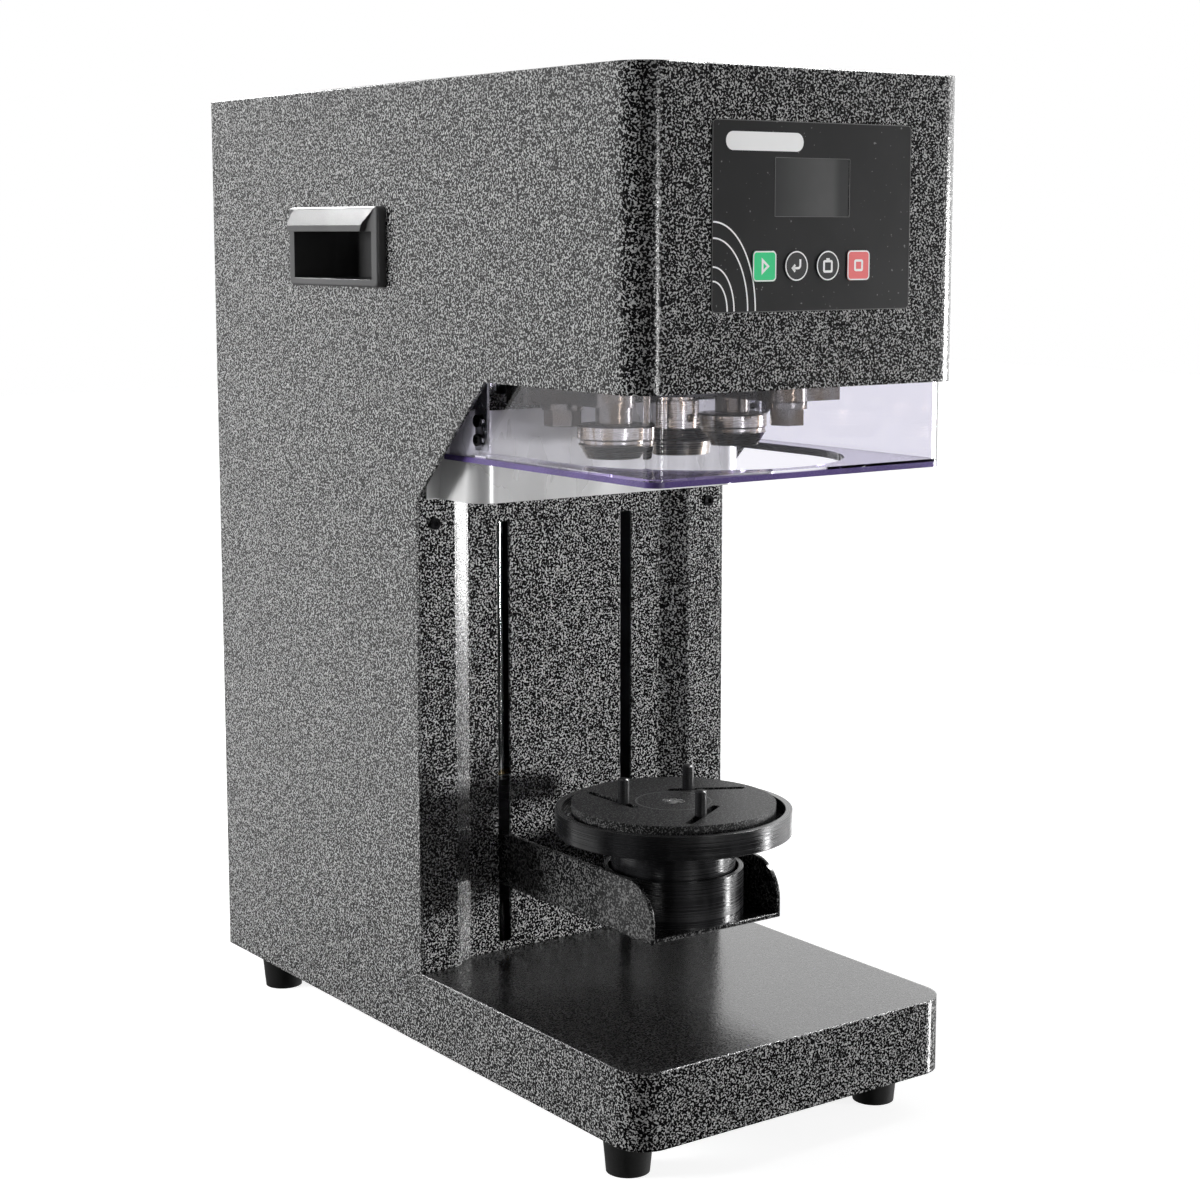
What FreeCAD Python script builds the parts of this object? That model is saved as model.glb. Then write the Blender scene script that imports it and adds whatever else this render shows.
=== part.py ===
import math
import os

import FreeCAD
import Part
import Sketcher

# A benchtop can seamer. Lengths are millimetres and angles are degrees.
# X points to the right, Y to the back and Z up, and the origin lies on the table
# under the middle of the machine.

dimensions = {
    # sheet steel body, a C seen from the side
    "bodyWidth": 235.0,
    "bodyDepth": 478.0,
    "bodyHeight": 583.6,
    "footHeight": 26.0,
    "baseHeight": 44.8,
    "wall": 1.5,
    "cornerRadius": 20.0,
    "columnSetback": 220.0,
    "headHeight": 171.6,
    "slopeDrop": 74.0,
    "slopeRun": 144.5,
    "deckOverlap": 16.0,
    "rearLip": 14.0,
    "seatGap": 0.3,
    # feet
    "footTopRadius": 15.0,
    "footBottomRadius": 12.5,
    "footSideInset": 24.5,
    "footFrontInset": 40.0,
    "footRearInset": 33.0,
    # bottom plate and rear cover
    "bottomThickness": 2.0,
    "coverThickness": 1.5,
    "coverMargin": 3.0,
    "louvreWidth": 60.0,
    "louvreHeight": 3.0,
    "louvrePitch": 9.0,
    "louvreRise": 18.0,
    "louvreRows": 12.0,
    "screwHeadRadius": 3.6,
    "screwHeadHeight": 2.0,
    "screwRadius": 2.0,
    "screwLength": 8.0,
    # column front panel with its joggle and the two slots
    "panelDrop": 14.0,
    "joggleDepth": 12.0,
    "joggleFlange": 27.5,
    "joggleRun": 16.0,
    "joggleBend": 3.0,
    "slotSpacing": 95.0,
    "slotWidth": 9.0,
    "slotFoot": 50.0,
    "slotDrop": 93.0,
    "panelScrewInset": 12.5,
    "panelScrewDrop": 89.0,
    # splash plate behind the tools and the clear guard around them
    "splashSideGap": 16.0,
    "splashSetback": 178.0,
    "splashThickness": 1.2,
    "splashBend": 15.0,
    "splashFlange": 9.5,
    "splashHeight": 55.0,
    "guardSideGap": 12.5,
    "guardSetback": 2.8,
    "guardRear": 208.0,
    "guardWall": 3.0,
    "guardFloor": 4.5,
    "guardDrop": 49.0,
    "guardCorner": 9.0,
    "guardNotchRadius": 86.0,
    "guardNotchSetback": 101.0,
    "guardShelfRear": 176.5,
    "guardScrewSetback": 170.0,
    "guardScrewDrop": 24.0,
    "guardScrewPitch": 11.0,
    "strapWidth": 13.0,
    "strapThickness": 1.5,
    # control panel on the head's front
    "filmWidth": 141.5,
    "filmHeight": 101.0,
    "filmRise": 42.0,
    "filmThickness": 0.5,
    "filmCorner": 4.0,
    "displayWidth": 52.4,
    "displayHeight": 30.5,
    "displayRise": 51.0,
    "keyRise": 24.4,
    "keySide": 16.2,
    "keyCorner": 2.5,
    "keyRadius": 7.9,
    "keyGap": 0.3,
    "keyProud": 0.4,
    "keyTravel": 0.5,
    "keySpacingOuter": 67.2,
    "keySpacingInner": 22.4,
    "boardSetback": 8.0,
    "boardThickness": 1.6,
    # pull handles in the sides
    "handleRise": 51.5,
    "handleHeight": 48.5,
    "handleFront": 251.5,
    "handleLength": 110.0,
    "handleProud": 6.0,
    "handleSideRim": 7.0,
    "handleLowRim": 4.6,
    "handleHood": 15.0,
    "handleRound": 1.5,
    "handleCorner": 4.0,
    "hoodProud": 3.5,
    "hoodBevel": 15.0,
    "hoodInset": 4.0,
    "cupDepth": 36.0,
    "cupWall": 2.0,
    "cupRadius": 14.0,
    # inner frame that carries the works
    "headPlateRise": 2.0,
    "headPlateThickness": 12.0,
    "frameSheet": 3.0,
    "frameSideGap": 30.5,
    "frameRear": 319.0,
    "frameFlange": 76.0,
    # spindle, chuck and their drive
    "axisSetback": 119.5,
    "chuckRadius": 20.5,
    "chuckDrop": 44.1,
    "chuckRim": 7.7,
    "chuckCone": 7.4,
    "sleeveRadius": 13.0,
    "sleeveHeight": 31.1,
    "spindleRadius": 9.95,
    "runningClearance": 0.05,
    "bearingRadius": 21.0,
    "bearingWidth": 12.0,
    "housingRadius": 31.0,
    "housingRise": 30.0,
    "noseRadius": 24.0,
    "noseDrop": 10.0,
    "gearModule": 2.0,
    "spindleTeeth": 54.0,
    "pinionTeeth": 18.0,
    "camTeeth": 72.0,
    "gearWidth": 10.0,
    "gearRise": 34.0,
    "spindleMotorTurn": 106.0,
    "camMotorTurn": 40.0,
    "motorShaftRadius": 5.0,
    "motorShaftDepth": 12.0,
    "motorFlange": 4.0,
    "motorStep": 1.5,
    "motorBand": 10.0,
    "motorCrown": 3.0,
    "bridgeRise": 48.0,
    "bridgeThickness": 6.0,
    "bridgeSideGap": 13.5,
    "bridgeFront": 9.0,
    "bridgeLength": 111.0,
    "pillarRadius": 6.0,
    "pillarInset": 12.0,
    "spindleMotorRadius": 41.0,
    "spindleMotorHeight": 82.0,
    "camMotorRadius": 22.0,
    "camMotorHeight": 74.0,
    # seaming rollers and their bell crank arms
    "pivotAcross": 55.0,
    "pivotAlong": 35.0,
    "rollerAcross": 54.0,
    "rollerAlong": 14.5,
    "armDrop": 14.0,
    "armThickness": 14.0,
    "armWidth": 24.0,
    "tailGap": 14.0,
    "tailWidth": 20.0,
    "clampSlit": 2.0,
    "pivotRadius": 8.0,
    "boltRadius": 6.0,
    "hexAcrossFlats": 19.0,
    "hexHeight": 9.6,
    "washerRadius": 12.0,
    "washerThickness": 4.0,
    "washerGap": 0.4,
    "rollerRadius": 21.0,
    "rollerFace": 11.0,
    "rollerCone": 8.2,
    "rollerEndRadius": 15.5,
    "rollerDrop": 42.9,
    "collarRadius": 10.5,
    "axleRadius": 7.0,
    "axleLength": 15.0,
    "rollerFloor": 3.8,
    "firstGroove": 1.6,
    "secondGroove": 0.9,
    # cam ring that swings both arms
    "camThickness": 8.0,
    "camGap": 0.5,
    "followerReach": 25.0,
    "followerRadius": 4.0,
    "camClearance": 0.4,
    "armSwing": 17.0,
    "camSwing": 68.0,
    # lift behind the column front
    "rodSetback": 276.0,
    "rodSpacing": 56.0,
    "rodRadius": 8.0,
    "screwShaftRadius": 7.0,
    "carriageLow": 70.0,
    "carriageHeight": 80.0,
    "carriageDepth": 50.0,
    "bushRadius": 14.0,
    "bushLength": 30.0,
    "nutRadius": 11.0,
    "nutFlangeRadius": 19.0,
    "nutFlange": 6.0,
    "footBlockHeight": 20.0,
    "footBlockDepth": 32.0,
    "footBlockMargin": 14.0,
    "liftMotorSide": 57.0,
    "liftMotorHeight": 56.0,
    "liftMotorFlange": 5.0,
    "liftMotorCap": 7.0,
    "liftMotorStep": 1.5,
    "liftMotorGrip": 20.0,
    # tray on the lift
    "trayLow": 87.0,
    "trayFront": 77.0,
    "trayFloorRear": 229.0,
    "traySheet": 2.5,
    "trayHeight": 34.0,
    "trayRear": 294.0,
    "trayCorner": 23.0,
    "trayScrewNear": 14.0,
    "trayScrewFar": 10.0,
    # platen
    "cupTop": 118.0,
    "cupRadiusOuter": 42.5,
    "cupLip": 3.0,
    "cupFloor": 14.5,
    "hubRadius": 37.5,
    "hubLow": 107.0,
    "hubBore": 20.05,
    "hubBearingHeight": 18.0,
    "dishRadius": 71.5,
    "dishLow": 139.4,
    "dishHeight": 14.1,
    "dishWall": 4.0,
    "dishFloor": 4.0,
    "discRadius": 61.75,
    "discLow": 150.0,
    "discTop": 157.2,
    "postRadius": 10.0,
    "slotNearAcross": 16.0,
    "slotNearAlong": 23.0,
    "slotFarAcross": 53.5,
    "slotFarAlong": 2.0,
    "pinSlotWidth": 5.4,
    "pinRadius": 3.5,
    "pinHeight": 15.5,
    "pinStemRadius": 2.5,
    "pinNutRadius": 5.0,
    "pinNutHeight": 4.0,
    "pinPlay": 0.1,
    "centreScrewRadius": 4.0,
    "centreHeadRadius": 7.0,
    "centreHeadHeight": 4.5,
    # electrics
    "supplyWidth": 98.0,
    "supplyDepth": 42.0,
    "supplyHeight": 160.0,
    "supplyFoot": 60.0,
    "inletAcross": -62.0,
    "inletHeight": 60.0,
    "inletWidth": 48.0,
    "inletTall": 28.0,
    "inletRecessWidth": 25.0,
    "inletRecessTall": 18.0,
    "inletRecess": 16.0,
    "inletDepth": 24.0,
    "switchAcross": -14.0,
    "switchWidth": 22.0,
    "switchTall": 30.0,
    "switchDepth": 20.0,
    "rockerProud": 4.0,
    "rockerTilt": 12.0,
    "rockerFace": 7.0,
    "rockerHalf": 11.0,
    "rockerDip": 2.4,
    "rockerPin": 1.5,
}

doc = FreeCAD.newDocument("can_seamer")
sheet = doc.addObject("Spreadsheet::Sheet", "Sizes")
for row, (alias, number) in enumerate(dimensions.items(), start=1):
    sheet.set(f"A{row}", alias)
    sheet.set(f"B{row}", str(number))
    sheet.setAlias(f"B{row}", alias)
doc.recompute()


class Size:
    """A number that also knows the spreadsheet formula it comes from."""

    def __init__(self, number, formula):
        self.number = float(number)
        self.formula = formula

    def __add__(self, other):
        other = sized(other)
        return Size(self.number + other.number, f"({self.formula} + {other.formula})")

    def __sub__(self, other):
        other = sized(other)
        return Size(self.number - other.number, f"({self.formula} - {other.formula})")

    def __mul__(self, other):
        other = sized(other)
        return Size(self.number * other.number, f"({self.formula} * {other.formula})")

    def __truediv__(self, other):
        other = sized(other)
        return Size(self.number / other.number, f"({self.formula} / {other.formula})")

    def __radd__(self, other):
        return sized(other) + self

    def __rsub__(self, other):
        return sized(other) - self

    def __rmul__(self, other):
        return sized(other) * self

    def __neg__(self):
        return Size(-self.number, f"(-1 * {self.formula})")


def sized(value):
    """Give a plain number the same form as a size from the sheet."""
    return value if isinstance(value, Size) else Size(value, f"({float(value):.6f})")


class Sheet:
    """The spreadsheet's cells by their aliases."""

    def __getattr__(self, alias):
        return Size(dimensions[alias], f"Sizes.{alias}")


d = Sheet()
nodes = []

# Places that many pieces share, from the floor up and from the front back.
frontProud = d.filmThickness + d.keyProud
rearProud = d.coverThickness + d.rockerProud
front = (frontProud - rearProud - d.bodyDepth) / 2
rear = front + d.bodyDepth
half = d.bodyWidth / 2
inside = half - d.wall
base = d.footHeight
deck = base + d.baseHeight
top = base + d.bodyHeight
headLow = top - d.headHeight
columnFace = front + d.columnSetback
axis = front + d.axisSetback
plateLow = headLow + d.headPlateRise
plateTop = plateLow + d.headPlateThickness
slopeFoot = headLow - d.slopeDrop
filmLow = headLow + d.filmRise
displayLow = filmLow + d.displayRise
handleLow = headLow + d.handleRise
bridgeLow = headLow + d.bridgeRise
bridgeTop = bridgeLow + d.bridgeThickness
armLow = headLow - d.armDrop
armTail = half - d.guardSideGap - d.guardWall - d.pivotAcross - d.tailGap


def bind(feature, **sizes):
    """Tie properties of a feature to sizes."""
    for name, size in sizes.items():
        feature.setExpression(name, sized(size).formula)


def place(feature, x=0, y=0, z=0):
    """Tie a feature's position to sizes."""
    for name, size in zip("xyz", (x, y, z)):
        feature.setExpression(f"Placement.Base.{name}", sized(size).formula)


def node(label, piece):
    """Name a finished piece and keep it for the export."""
    piece.Label = label
    nodes.append(piece)
    return piece


turned_to = {
    "X": FreeCAD.Rotation(FreeCAD.Vector(0, 1, 0), 90),
    "Y": FreeCAD.Rotation(FreeCAD.Vector(1, 0, 0), -90),
    "Z": FreeCAD.Rotation(),
}


def block(name, x, y, z, length, width, height):
    """A box from its low corner."""
    piece = doc.addObject("Part::Box", name)
    bind(piece, Length=length, Width=width, Height=height)
    place(piece, x, y, z)
    return piece


def rod(name, x, y, z, radius, length, along="Z"):
    """A cylinder from the centre of its low end."""
    piece = doc.addObject("Part::Cylinder", name)
    piece.Placement.Rotation = turned_to[along]
    bind(piece, Radius=radius, Height=length)
    place(piece, x, y, z)
    return piece


def taper(name, x, y, z, lowRadius, highRadius, length, along="Z"):
    """A cone from the centre of its low end."""
    piece = doc.addObject("Part::Cone", name)
    piece.Placement.Rotation = turned_to[along]
    bind(piece, Radius1=lowRadius, Radius2=highRadius, Height=length)
    place(piece, x, y, z)
    return piece


def fuse(name, *pieces):
    joined = doc.addObject("Part::MultiFuse", name)
    joined.Shapes = list(pieces)
    return joined


def cut(name, piece, *tools):
    rest = doc.addObject("Part::Cut", name)
    rest.Base = piece
    rest.Tool = tools[0] if len(tools) == 1 else fuse(name + "Tools", *tools)
    return rest


def group(name, *pieces):
    together = doc.addObject("Part::Compound", name)
    together.Links = list(pieces)
    return together


def newBody(label):
    return node(label, doc.addObject("PartDesign::Body", label))


def outline(body, name, plane, offset, corners):
    """A closed sketch through corners, on an origin plane moved along its normal."""
    sketch = body.newObject("Sketcher::SketchObject", name)
    support = [item for item in body.Origin.OriginFeatures if item.Role == plane + "_Plane"]
    sketch.AttachmentSupport = [(support[0], "")]
    sketch.MapMode = "FlatFace"
    side = -1 if plane == "XZ" else 1
    sketch.setExpression("AttachmentOffset.Base.z", (side * sized(offset)).formula)
    places = [FreeCAD.Vector(sized(u).number, sized(v).number, 0) for u, v in corners]
    following = places[1:] + places[:1]
    sketch.addGeometry([Part.LineSegment(a, b) for a, b in zip(places, following)])
    rules = []
    for index in range(len(corners)):
        rules.append(Sketcher.Constraint("Coincident", index, 2, (index + 1) % len(corners), 1))
    for index, spot in enumerate(places):
        rules.append(Sketcher.Constraint("DistanceX", -1, 1, index, 1, spot.x))
        rules.append(Sketcher.Constraint("DistanceY", -1, 1, index, 1, spot.y))
    sketch.addConstraint(rules)
    for index, corner in enumerate(corners):
        for part, size in enumerate(corner):
            held = len(corners) + 2 * index + part
            sketch.setExpression(f"Constraints[{held}]", sized(size).formula)
    return sketch


def circles(body, name, plane, offset, centres, radius):
    """A sketch of equal circles."""
    sketch = body.newObject("Sketcher::SketchObject", name)
    support = [item for item in body.Origin.OriginFeatures if item.Role == plane + "_Plane"]
    sketch.AttachmentSupport = [(support[0], "")]
    sketch.MapMode = "FlatFace"
    side = -1 if plane == "XZ" else 1
    sketch.setExpression("AttachmentOffset.Base.z", (side * sized(offset)).formula)
    for index, (u, v) in enumerate(centres):
        u, v, r = sized(u), sized(v), sized(radius)
        centre = FreeCAD.Vector(u.number, v.number, 0)
        sketch.addGeometry(Part.Circle(centre, FreeCAD.Vector(0, 0, 1), r.number))
        first = sketch.ConstraintCount
        sketch.addConstraint([
            Sketcher.Constraint("DistanceX", -1, 1, index, 3, u.number),
            Sketcher.Constraint("DistanceY", -1, 1, index, 3, v.number),
            Sketcher.Constraint("Radius", index, r.number),
        ])
        for step, size in enumerate((u, v, r)):
            sketch.setExpression(f"Constraints[{first + step}]", size.formula)
    return sketch


def pad(body, sketch, plane, length):
    """Add material from a sketch towards the plane's plus side."""
    feature = body.newObject("PartDesign::Pad", sketch.Name + "Pad")
    feature.Profile = sketch
    bind(feature, Length=length)
    feature.Reversed = plane == "XZ"
    return feature


def pocket(body, sketch, plane, length):
    """Cut material from a sketch towards the plane's plus side."""
    feature = body.newObject("PartDesign::Pocket", sketch.Name + "Pocket")
    feature.Profile = sketch
    bind(feature, Length=length)
    feature.Reversed = plane != "XZ"
    return feature


def rectangle(u, v, width, height):
    return [(u, v), (u + width, v), (u + width, v + height), (u, v + height)]


def runsAlong(edge, direction):
    """Whether an edge is straight and parallel to X, Y or Z."""
    if len(edge.Vertexes) != 2 or not isinstance(edge.Curve, Part.Line):
        return False
    across = edge.Vertexes[1].Point - edge.Vertexes[0].Point
    return abs(getattr(across, direction.lower())) > across.Length - 1e-6


def fillet(body, name, radius, chooses):
    """Round the edges that a test chooses."""
    doc.recompute()
    last = body.Tip
    names = [f"Edge{i}" for i, edge in enumerate(last.Shape.Edges, 1) if chooses(edge)]
    feature = body.newObject("PartDesign::Fillet", name)
    feature.Base = (last, names)
    bind(feature, Radius=radius)
    return feature


def turned(label, profile, x=0, y=0, z=0):
    """A finished body of revolution about its own Z, from (radius, height) corners."""
    return node(label, turnedBlank(label, profile, x, y, z))


def turnedBlank(label, profile, x=0, y=0, z=0):
    """A body of revolution that other tools will cut."""
    body = doc.addObject("PartDesign::Body", label)
    sketch = outline(body, label + "Profile", "XZ", 0, profile)
    feature = body.newObject("PartDesign::Revolution", label + "Turn")
    feature.Profile = sketch
    feature.ReferenceAxis = (sketch, ["V_Axis"])
    feature.Angle = 360
    place(body, x, y, z)
    return body


def screw(name, x, y, z, along, away):
    """A small cap screw whose head stands away from its seat, on the minus or plus side."""
    low = -1 if away < 0 else 0
    head = rod(name + "Head", *shifted(x, y, z, along, low * d.screwHeadHeight),
               d.screwHeadRadius, d.screwHeadHeight, along)
    start = 0 if away < 0 else -1
    shank = rod(name + "Shank", *shifted(x, y, z, along, start * d.screwLength),
                d.screwRadius, d.screwLength, along)
    deep = d.screwHeadHeight / 2
    dent = shifted(x, y, z, along, -1 * d.screwHeadHeight if away < 0 else deep)
    socket = rod(name + "Socket", *dent, d.screwHeadRadius / 2, deep, along)
    return cut(name, fuse(name + "Blank", head, shank), socket)


def shifted(x, y, z, along, distance):
    """A point moved along one axis."""
    if along == "X":
        return x + distance, y, z
    if along == "Y":
        return x, y + distance, z
    return x, y, z + distance


# The cup of a pull handle, inside the handle's rim.
cupLength = d.handleLength - 2 * d.handleSideRim + 2 * d.cupWall
cupTall = d.handleHeight - d.handleLowRim - d.handleHood + 2 * d.cupWall
cupInset = d.handleSideRim - d.cupWall - d.seatGap
cupLowInset = d.handleLowRim - d.cupWall - d.seatGap

keyNames = ["start_key", "enter_key", "menu_key", "stop_key"]
keyPlaces = [-d.keySpacingOuter / 2, -d.keySpacingInner / 2, d.keySpacingInner / 2, d.keySpacingOuter / 2]
keyLevel = filmLow + d.keyRise
displaySide = d.displayWidth / 2
filmShift = 1.2
filmInner = d.filmWidth - 18
switchTall = 1.2


def buildShell():
    """The welded C-shaped sheet body: sides, head, deck and top, open below and behind."""
    body = newBody("housing_shell")
    side = [
        (front, base),
        (front, deck),
        (columnFace, deck),
        (columnFace, slopeFoot),
        (front + d.slopeRun, headLow),
        (front, headLow),
        (front, top),
        (rear, top),
        (rear, base),
    ]
    pad(body, outline(body, "shellSide", "YZ", -half, side), "YZ", d.bodyWidth)
    deckRear = columnFace + d.deckOverlap
    clear = 10
    hollow = [
        (front + d.wall, base - clear),
        (front + d.wall, deck - d.wall),
        (deckRear, deck - d.wall),
        (deckRear, deck),
        (columnFace - clear, deck),
        (columnFace - clear, slopeFoot - clear),
        (front + d.wall, headLow - clear),
        (front + d.wall, top - d.wall),
        (rear - d.wall, top - d.wall),
        (rear - d.wall, base - clear),
    ]
    pocket(body, outline(body, "shellHollow", "YZ", -inside, hollow), "YZ", 2 * inside)
    fillet(body, "shellInnerCorners", d.cornerRadius - d.wall,
           lambda edge: runsAlong(edge, "Z")
           and abs(edge.CenterOfMass.y - (front + d.wall).number) < 0.01)
    fillet(body, "shellCorners", d.cornerRadius,
           lambda edge: runsAlong(edge, "Z") and abs(edge.CenterOfMass.y - front.number) < 0.01)
    opening = rectangle(-half + d.rearLip, base - clear,
                        d.bodyWidth - 2 * d.rearLip, d.bodyHeight - d.rearLip + clear)
    pocket(body, outline(body, "shellRear", "XZ", rear - 2 * d.wall, opening), "XZ", 3 * d.wall)
    handle = rectangle(front + d.handleFront + cupInset, handleLow + cupLowInset,
                       cupLength + 2 * d.seatGap, cupTall + 2 * d.seatGap)
    pocket(body, outline(body, "shellHandles", "YZ", -half - 1, handle), "YZ", d.bodyWidth + 2)
    cutPanelOpenings(body, d.keyGap, "shell", front - 1, d.wall + 2)
    pocket(body, circles(body, "shellScrews", "XZ", rear - 2 * d.wall, rearScrewPlaces(), d.screwRadius),
           "XZ", 3 * d.wall)


def rearScrewPlaces():
    """Where the rear cover's screws stand, down both edges."""
    across = half - d.rearLip / 2
    return [(side * across, base + d.bodyHeight * share)
            for share in (0.04, 0.35, 0.65, 0.96) for side in (-1, 1)]


def squareKey(x, gap):
    side = d.keySide + 2 * gap
    return rectangle(x - side / 2, keyLevel - side / 2, side, side)


def cutPanelOpenings(body, gap, name, start, depth):
    """The display window and the four key holes through a front wall."""
    window = rectangle(-displaySide - gap, displayLow - gap,
                       d.displayWidth + 2 * gap, d.displayHeight + 2 * gap)
    pocket(body, outline(body, name + "Window", "XZ", start, window), "XZ", depth)
    for number in (0, 3):
        key = squareKey(keyPlaces[number], gap)
        hole = outline(body, f"{name}Key{number}", "XZ", start, key)
        pocket(body, hole, "XZ", depth)
        centre = keyPlaces[number].number
        fillet(body, f"{name}Corner{number}", d.keyCorner + gap,
               lambda edge: runsAlong(edge, "Y")
               and abs(edge.CenterOfMass.x - centre) < d.keySide.number * 0.6
               and abs(edge.CenterOfMass.z - keyLevel.number) < d.keySide.number * 0.6)
    middle = [(keyPlaces[1], keyLevel), (keyPlaces[2], keyLevel)]
    pocket(body, circles(body, name + "Keys", "XZ", start, middle, d.keyRadius + gap), "XZ", depth)


def buildCovers():
    """The bottom plate, the louvred rear cover and the screws of the covers."""
    gap = d.seatGap
    bottom = newBody("base_bottom_plate")
    length = d.bodyDepth - 2 * d.wall - 2 * gap
    plan = rectangle(-inside + gap, front + d.wall + gap, 2 * inside - 2 * gap, length)
    pad(bottom, outline(bottom, "bottomPlan", "XY", base, plan), "XY", d.bottomThickness)
    fillet(bottom, "bottomCorners", d.cornerRadius - d.wall - gap,
           lambda edge: runsAlong(edge, "Z") and edge.CenterOfMass.y < axis.number)
    pocket(bottom, circles(bottom, "bottomHoles", "XY", base - 1, footPlaces(), d.screwRadius + gap),
           "XY", d.bottomThickness + 2)

    cover = newBody("rear_cover")
    width = d.bodyWidth - 2 * d.coverMargin
    height = d.bodyHeight - 2 * d.coverMargin
    face = rectangle(-width / 2, base + d.coverMargin, width, height)
    pad(cover, outline(cover, "coverFace", "XZ", rear, face), "XZ", d.coverThickness)
    fillet(cover, "coverCorners", d.coverMargin, lambda edge: runsAlong(edge, "Y"))
    inlet = rectangle(d.inletAcross - d.inletWidth / 2 + 3, base + d.inletHeight + 3,
                      d.inletWidth - 6, d.inletTall - 6)
    pocket(cover, outline(cover, "coverInlet", "XZ", rear - 1, inlet), "XZ", d.coverThickness + 2)
    switch = rectangle(d.switchAcross - d.switchWidth / 2 + 2, base + d.inletHeight + 2,
                       d.switchWidth - 4, d.switchTall - 4)
    pocket(cover, outline(cover, "coverSwitch", "XZ", rear - 1, switch), "XZ", d.coverThickness + 2)
    for column in (-1, 1):
        middle = column * (d.louvreWidth / 2 + 10)
        slot = rectangle(middle - d.louvreWidth / 2, headLow + d.louvreRise, d.louvreWidth, d.louvreHeight)
        sketch = outline(cover, f"louvre{column + 1}", "XZ", rear - 1, slot)
        first = pocket(cover, sketch, "XZ", d.coverThickness + 2)
        rows = cover.newObject("PartDesign::LinearPattern", f"louvres{column + 1}")
        rows.Originals = [first]
        rows.Direction = (sketch, ["V_Axis"])
        rows.Occurrences = int(dimensions["louvreRows"])
        bind(rows, Length=d.louvrePitch * (d.louvreRows - 1))
        cover.Tip = rows

    screws = [screw(f"rearScrew{number}", x, rear + d.coverThickness, z, "Y", 1)
              for number, (x, z) in enumerate(rearScrewPlaces())]
    for side in (-1, 1):
        screws.append(screw(f"panelScrew{side + 1}", side * (half - d.panelScrewInset), columnFace,
                            headLow - d.panelScrewDrop, "Y", -1))
    holes = circles(cover, "coverHoles", "XZ", rear - 1, rearScrewPlaces(), d.screwRadius)
    pocket(cover, holes, "XZ", d.coverThickness + 2)
    node("cover_screws", group("coverScrews", *screws))


def footPlaces():
    across = half - d.footSideInset
    return [(side * across, along) for side in (-1, 1)
            for along in (front + d.footFrontInset, rear - d.footRearInset)]


def buildFeet():
    """Four tapered rubber feet with the recess of their fixing screws."""
    feet = []
    for number, (x, y) in enumerate(footPlaces()):
        blank = taper(f"foot{number}", x, y, 0, d.footBottomRadius, d.footTopRadius, d.footHeight)
        recess = rod(f"footRecess{number}", x, y, -1, d.footBottomRadius / 2, d.footHeight / 3)
        feet.append(cut(f"footCut{number}", blank, recess))
    node("rubber_feet", group("rubberFeet", *feet))


def buildColumnPanel():
    """The folded sheet that closes the column, set back in its middle and slotted for the tray."""
    body = newBody("column_front_panel")
    edge = inside - d.seatGap
    back = columnFace + d.joggleDepth
    outer = half - d.joggleFlange
    inner = outer - d.joggleRun
    turns = [
        (-edge, columnFace),
        (-outer, columnFace),
        (-inner, back),
        (inner, back),
        (outer, columnFace),
        (edge, columnFace),
    ]
    plan = turns + [(x, y + d.wall) for x, y in reversed(turns)]
    height = headLow - d.panelDrop - deck
    pad(body, outline(body, "panelPlan", "XY", deck, plan), "XY", height)
    fillet(body, "panelBends", d.joggleBend,
           lambda edge: runsAlong(edge, "Z") and abs(edge.CenterOfMass.x) < (inside - 5).number)
    for side in (-1, 1):
        slot = rectangle(side * d.slotSpacing / 2 - d.slotWidth / 2, base + d.slotFoot,
                         d.slotWidth, headLow - d.slotDrop - base - d.slotFoot)
        sketch = outline(body, f"panelSlot{side + 1}", "XZ", back - d.joggleBend, slot)
        pocket(body, sketch, "XZ", d.wall + 2 * d.joggleBend)
    holes = [(side * (half - d.panelScrewInset), headLow - d.panelScrewDrop) for side in (-1, 1)]
    pocket(body, circles(body, "panelHoles", "XZ", columnFace - 1, holes, d.screwRadius),
           "XZ", d.wall + 2)


def buildSplashPlate():
    """The bright plate bent to a U behind the tools, with a flange at each end."""
    body = newBody("splash_plate")
    wide = half - d.splashSideGap
    gauge = d.splashThickness
    near = front + d.splashSetback
    far = columnFace - d.seatGap
    plan = [
        (-wide, near),
        (wide, near),
        (wide, far - gauge),
        (wide + d.splashFlange, far - gauge),
        (wide + d.splashFlange, far),
        (wide - gauge, far),
        (wide - gauge, near + gauge),
        (-wide + gauge, near + gauge),
        (-wide + gauge, far),
        (-wide - d.splashFlange, far),
        (-wide - d.splashFlange, far - gauge),
        (-wide, far - gauge),
    ]
    pad(body, outline(body, "splashPlan", "XY", slopeFoot, plan), "XY", d.splashHeight)
    fillet(body, "splashOuterBends", d.splashBend,
           lambda edge: runsAlong(edge, "Z") and abs(edge.CenterOfMass.y - near.number) < 0.01)
    fillet(body, "splashInnerBends", d.splashBend - gauge,
           lambda edge: runsAlong(edge, "Z")
           and abs(edge.CenterOfMass.y - (near + gauge).number) < 0.01)


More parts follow.
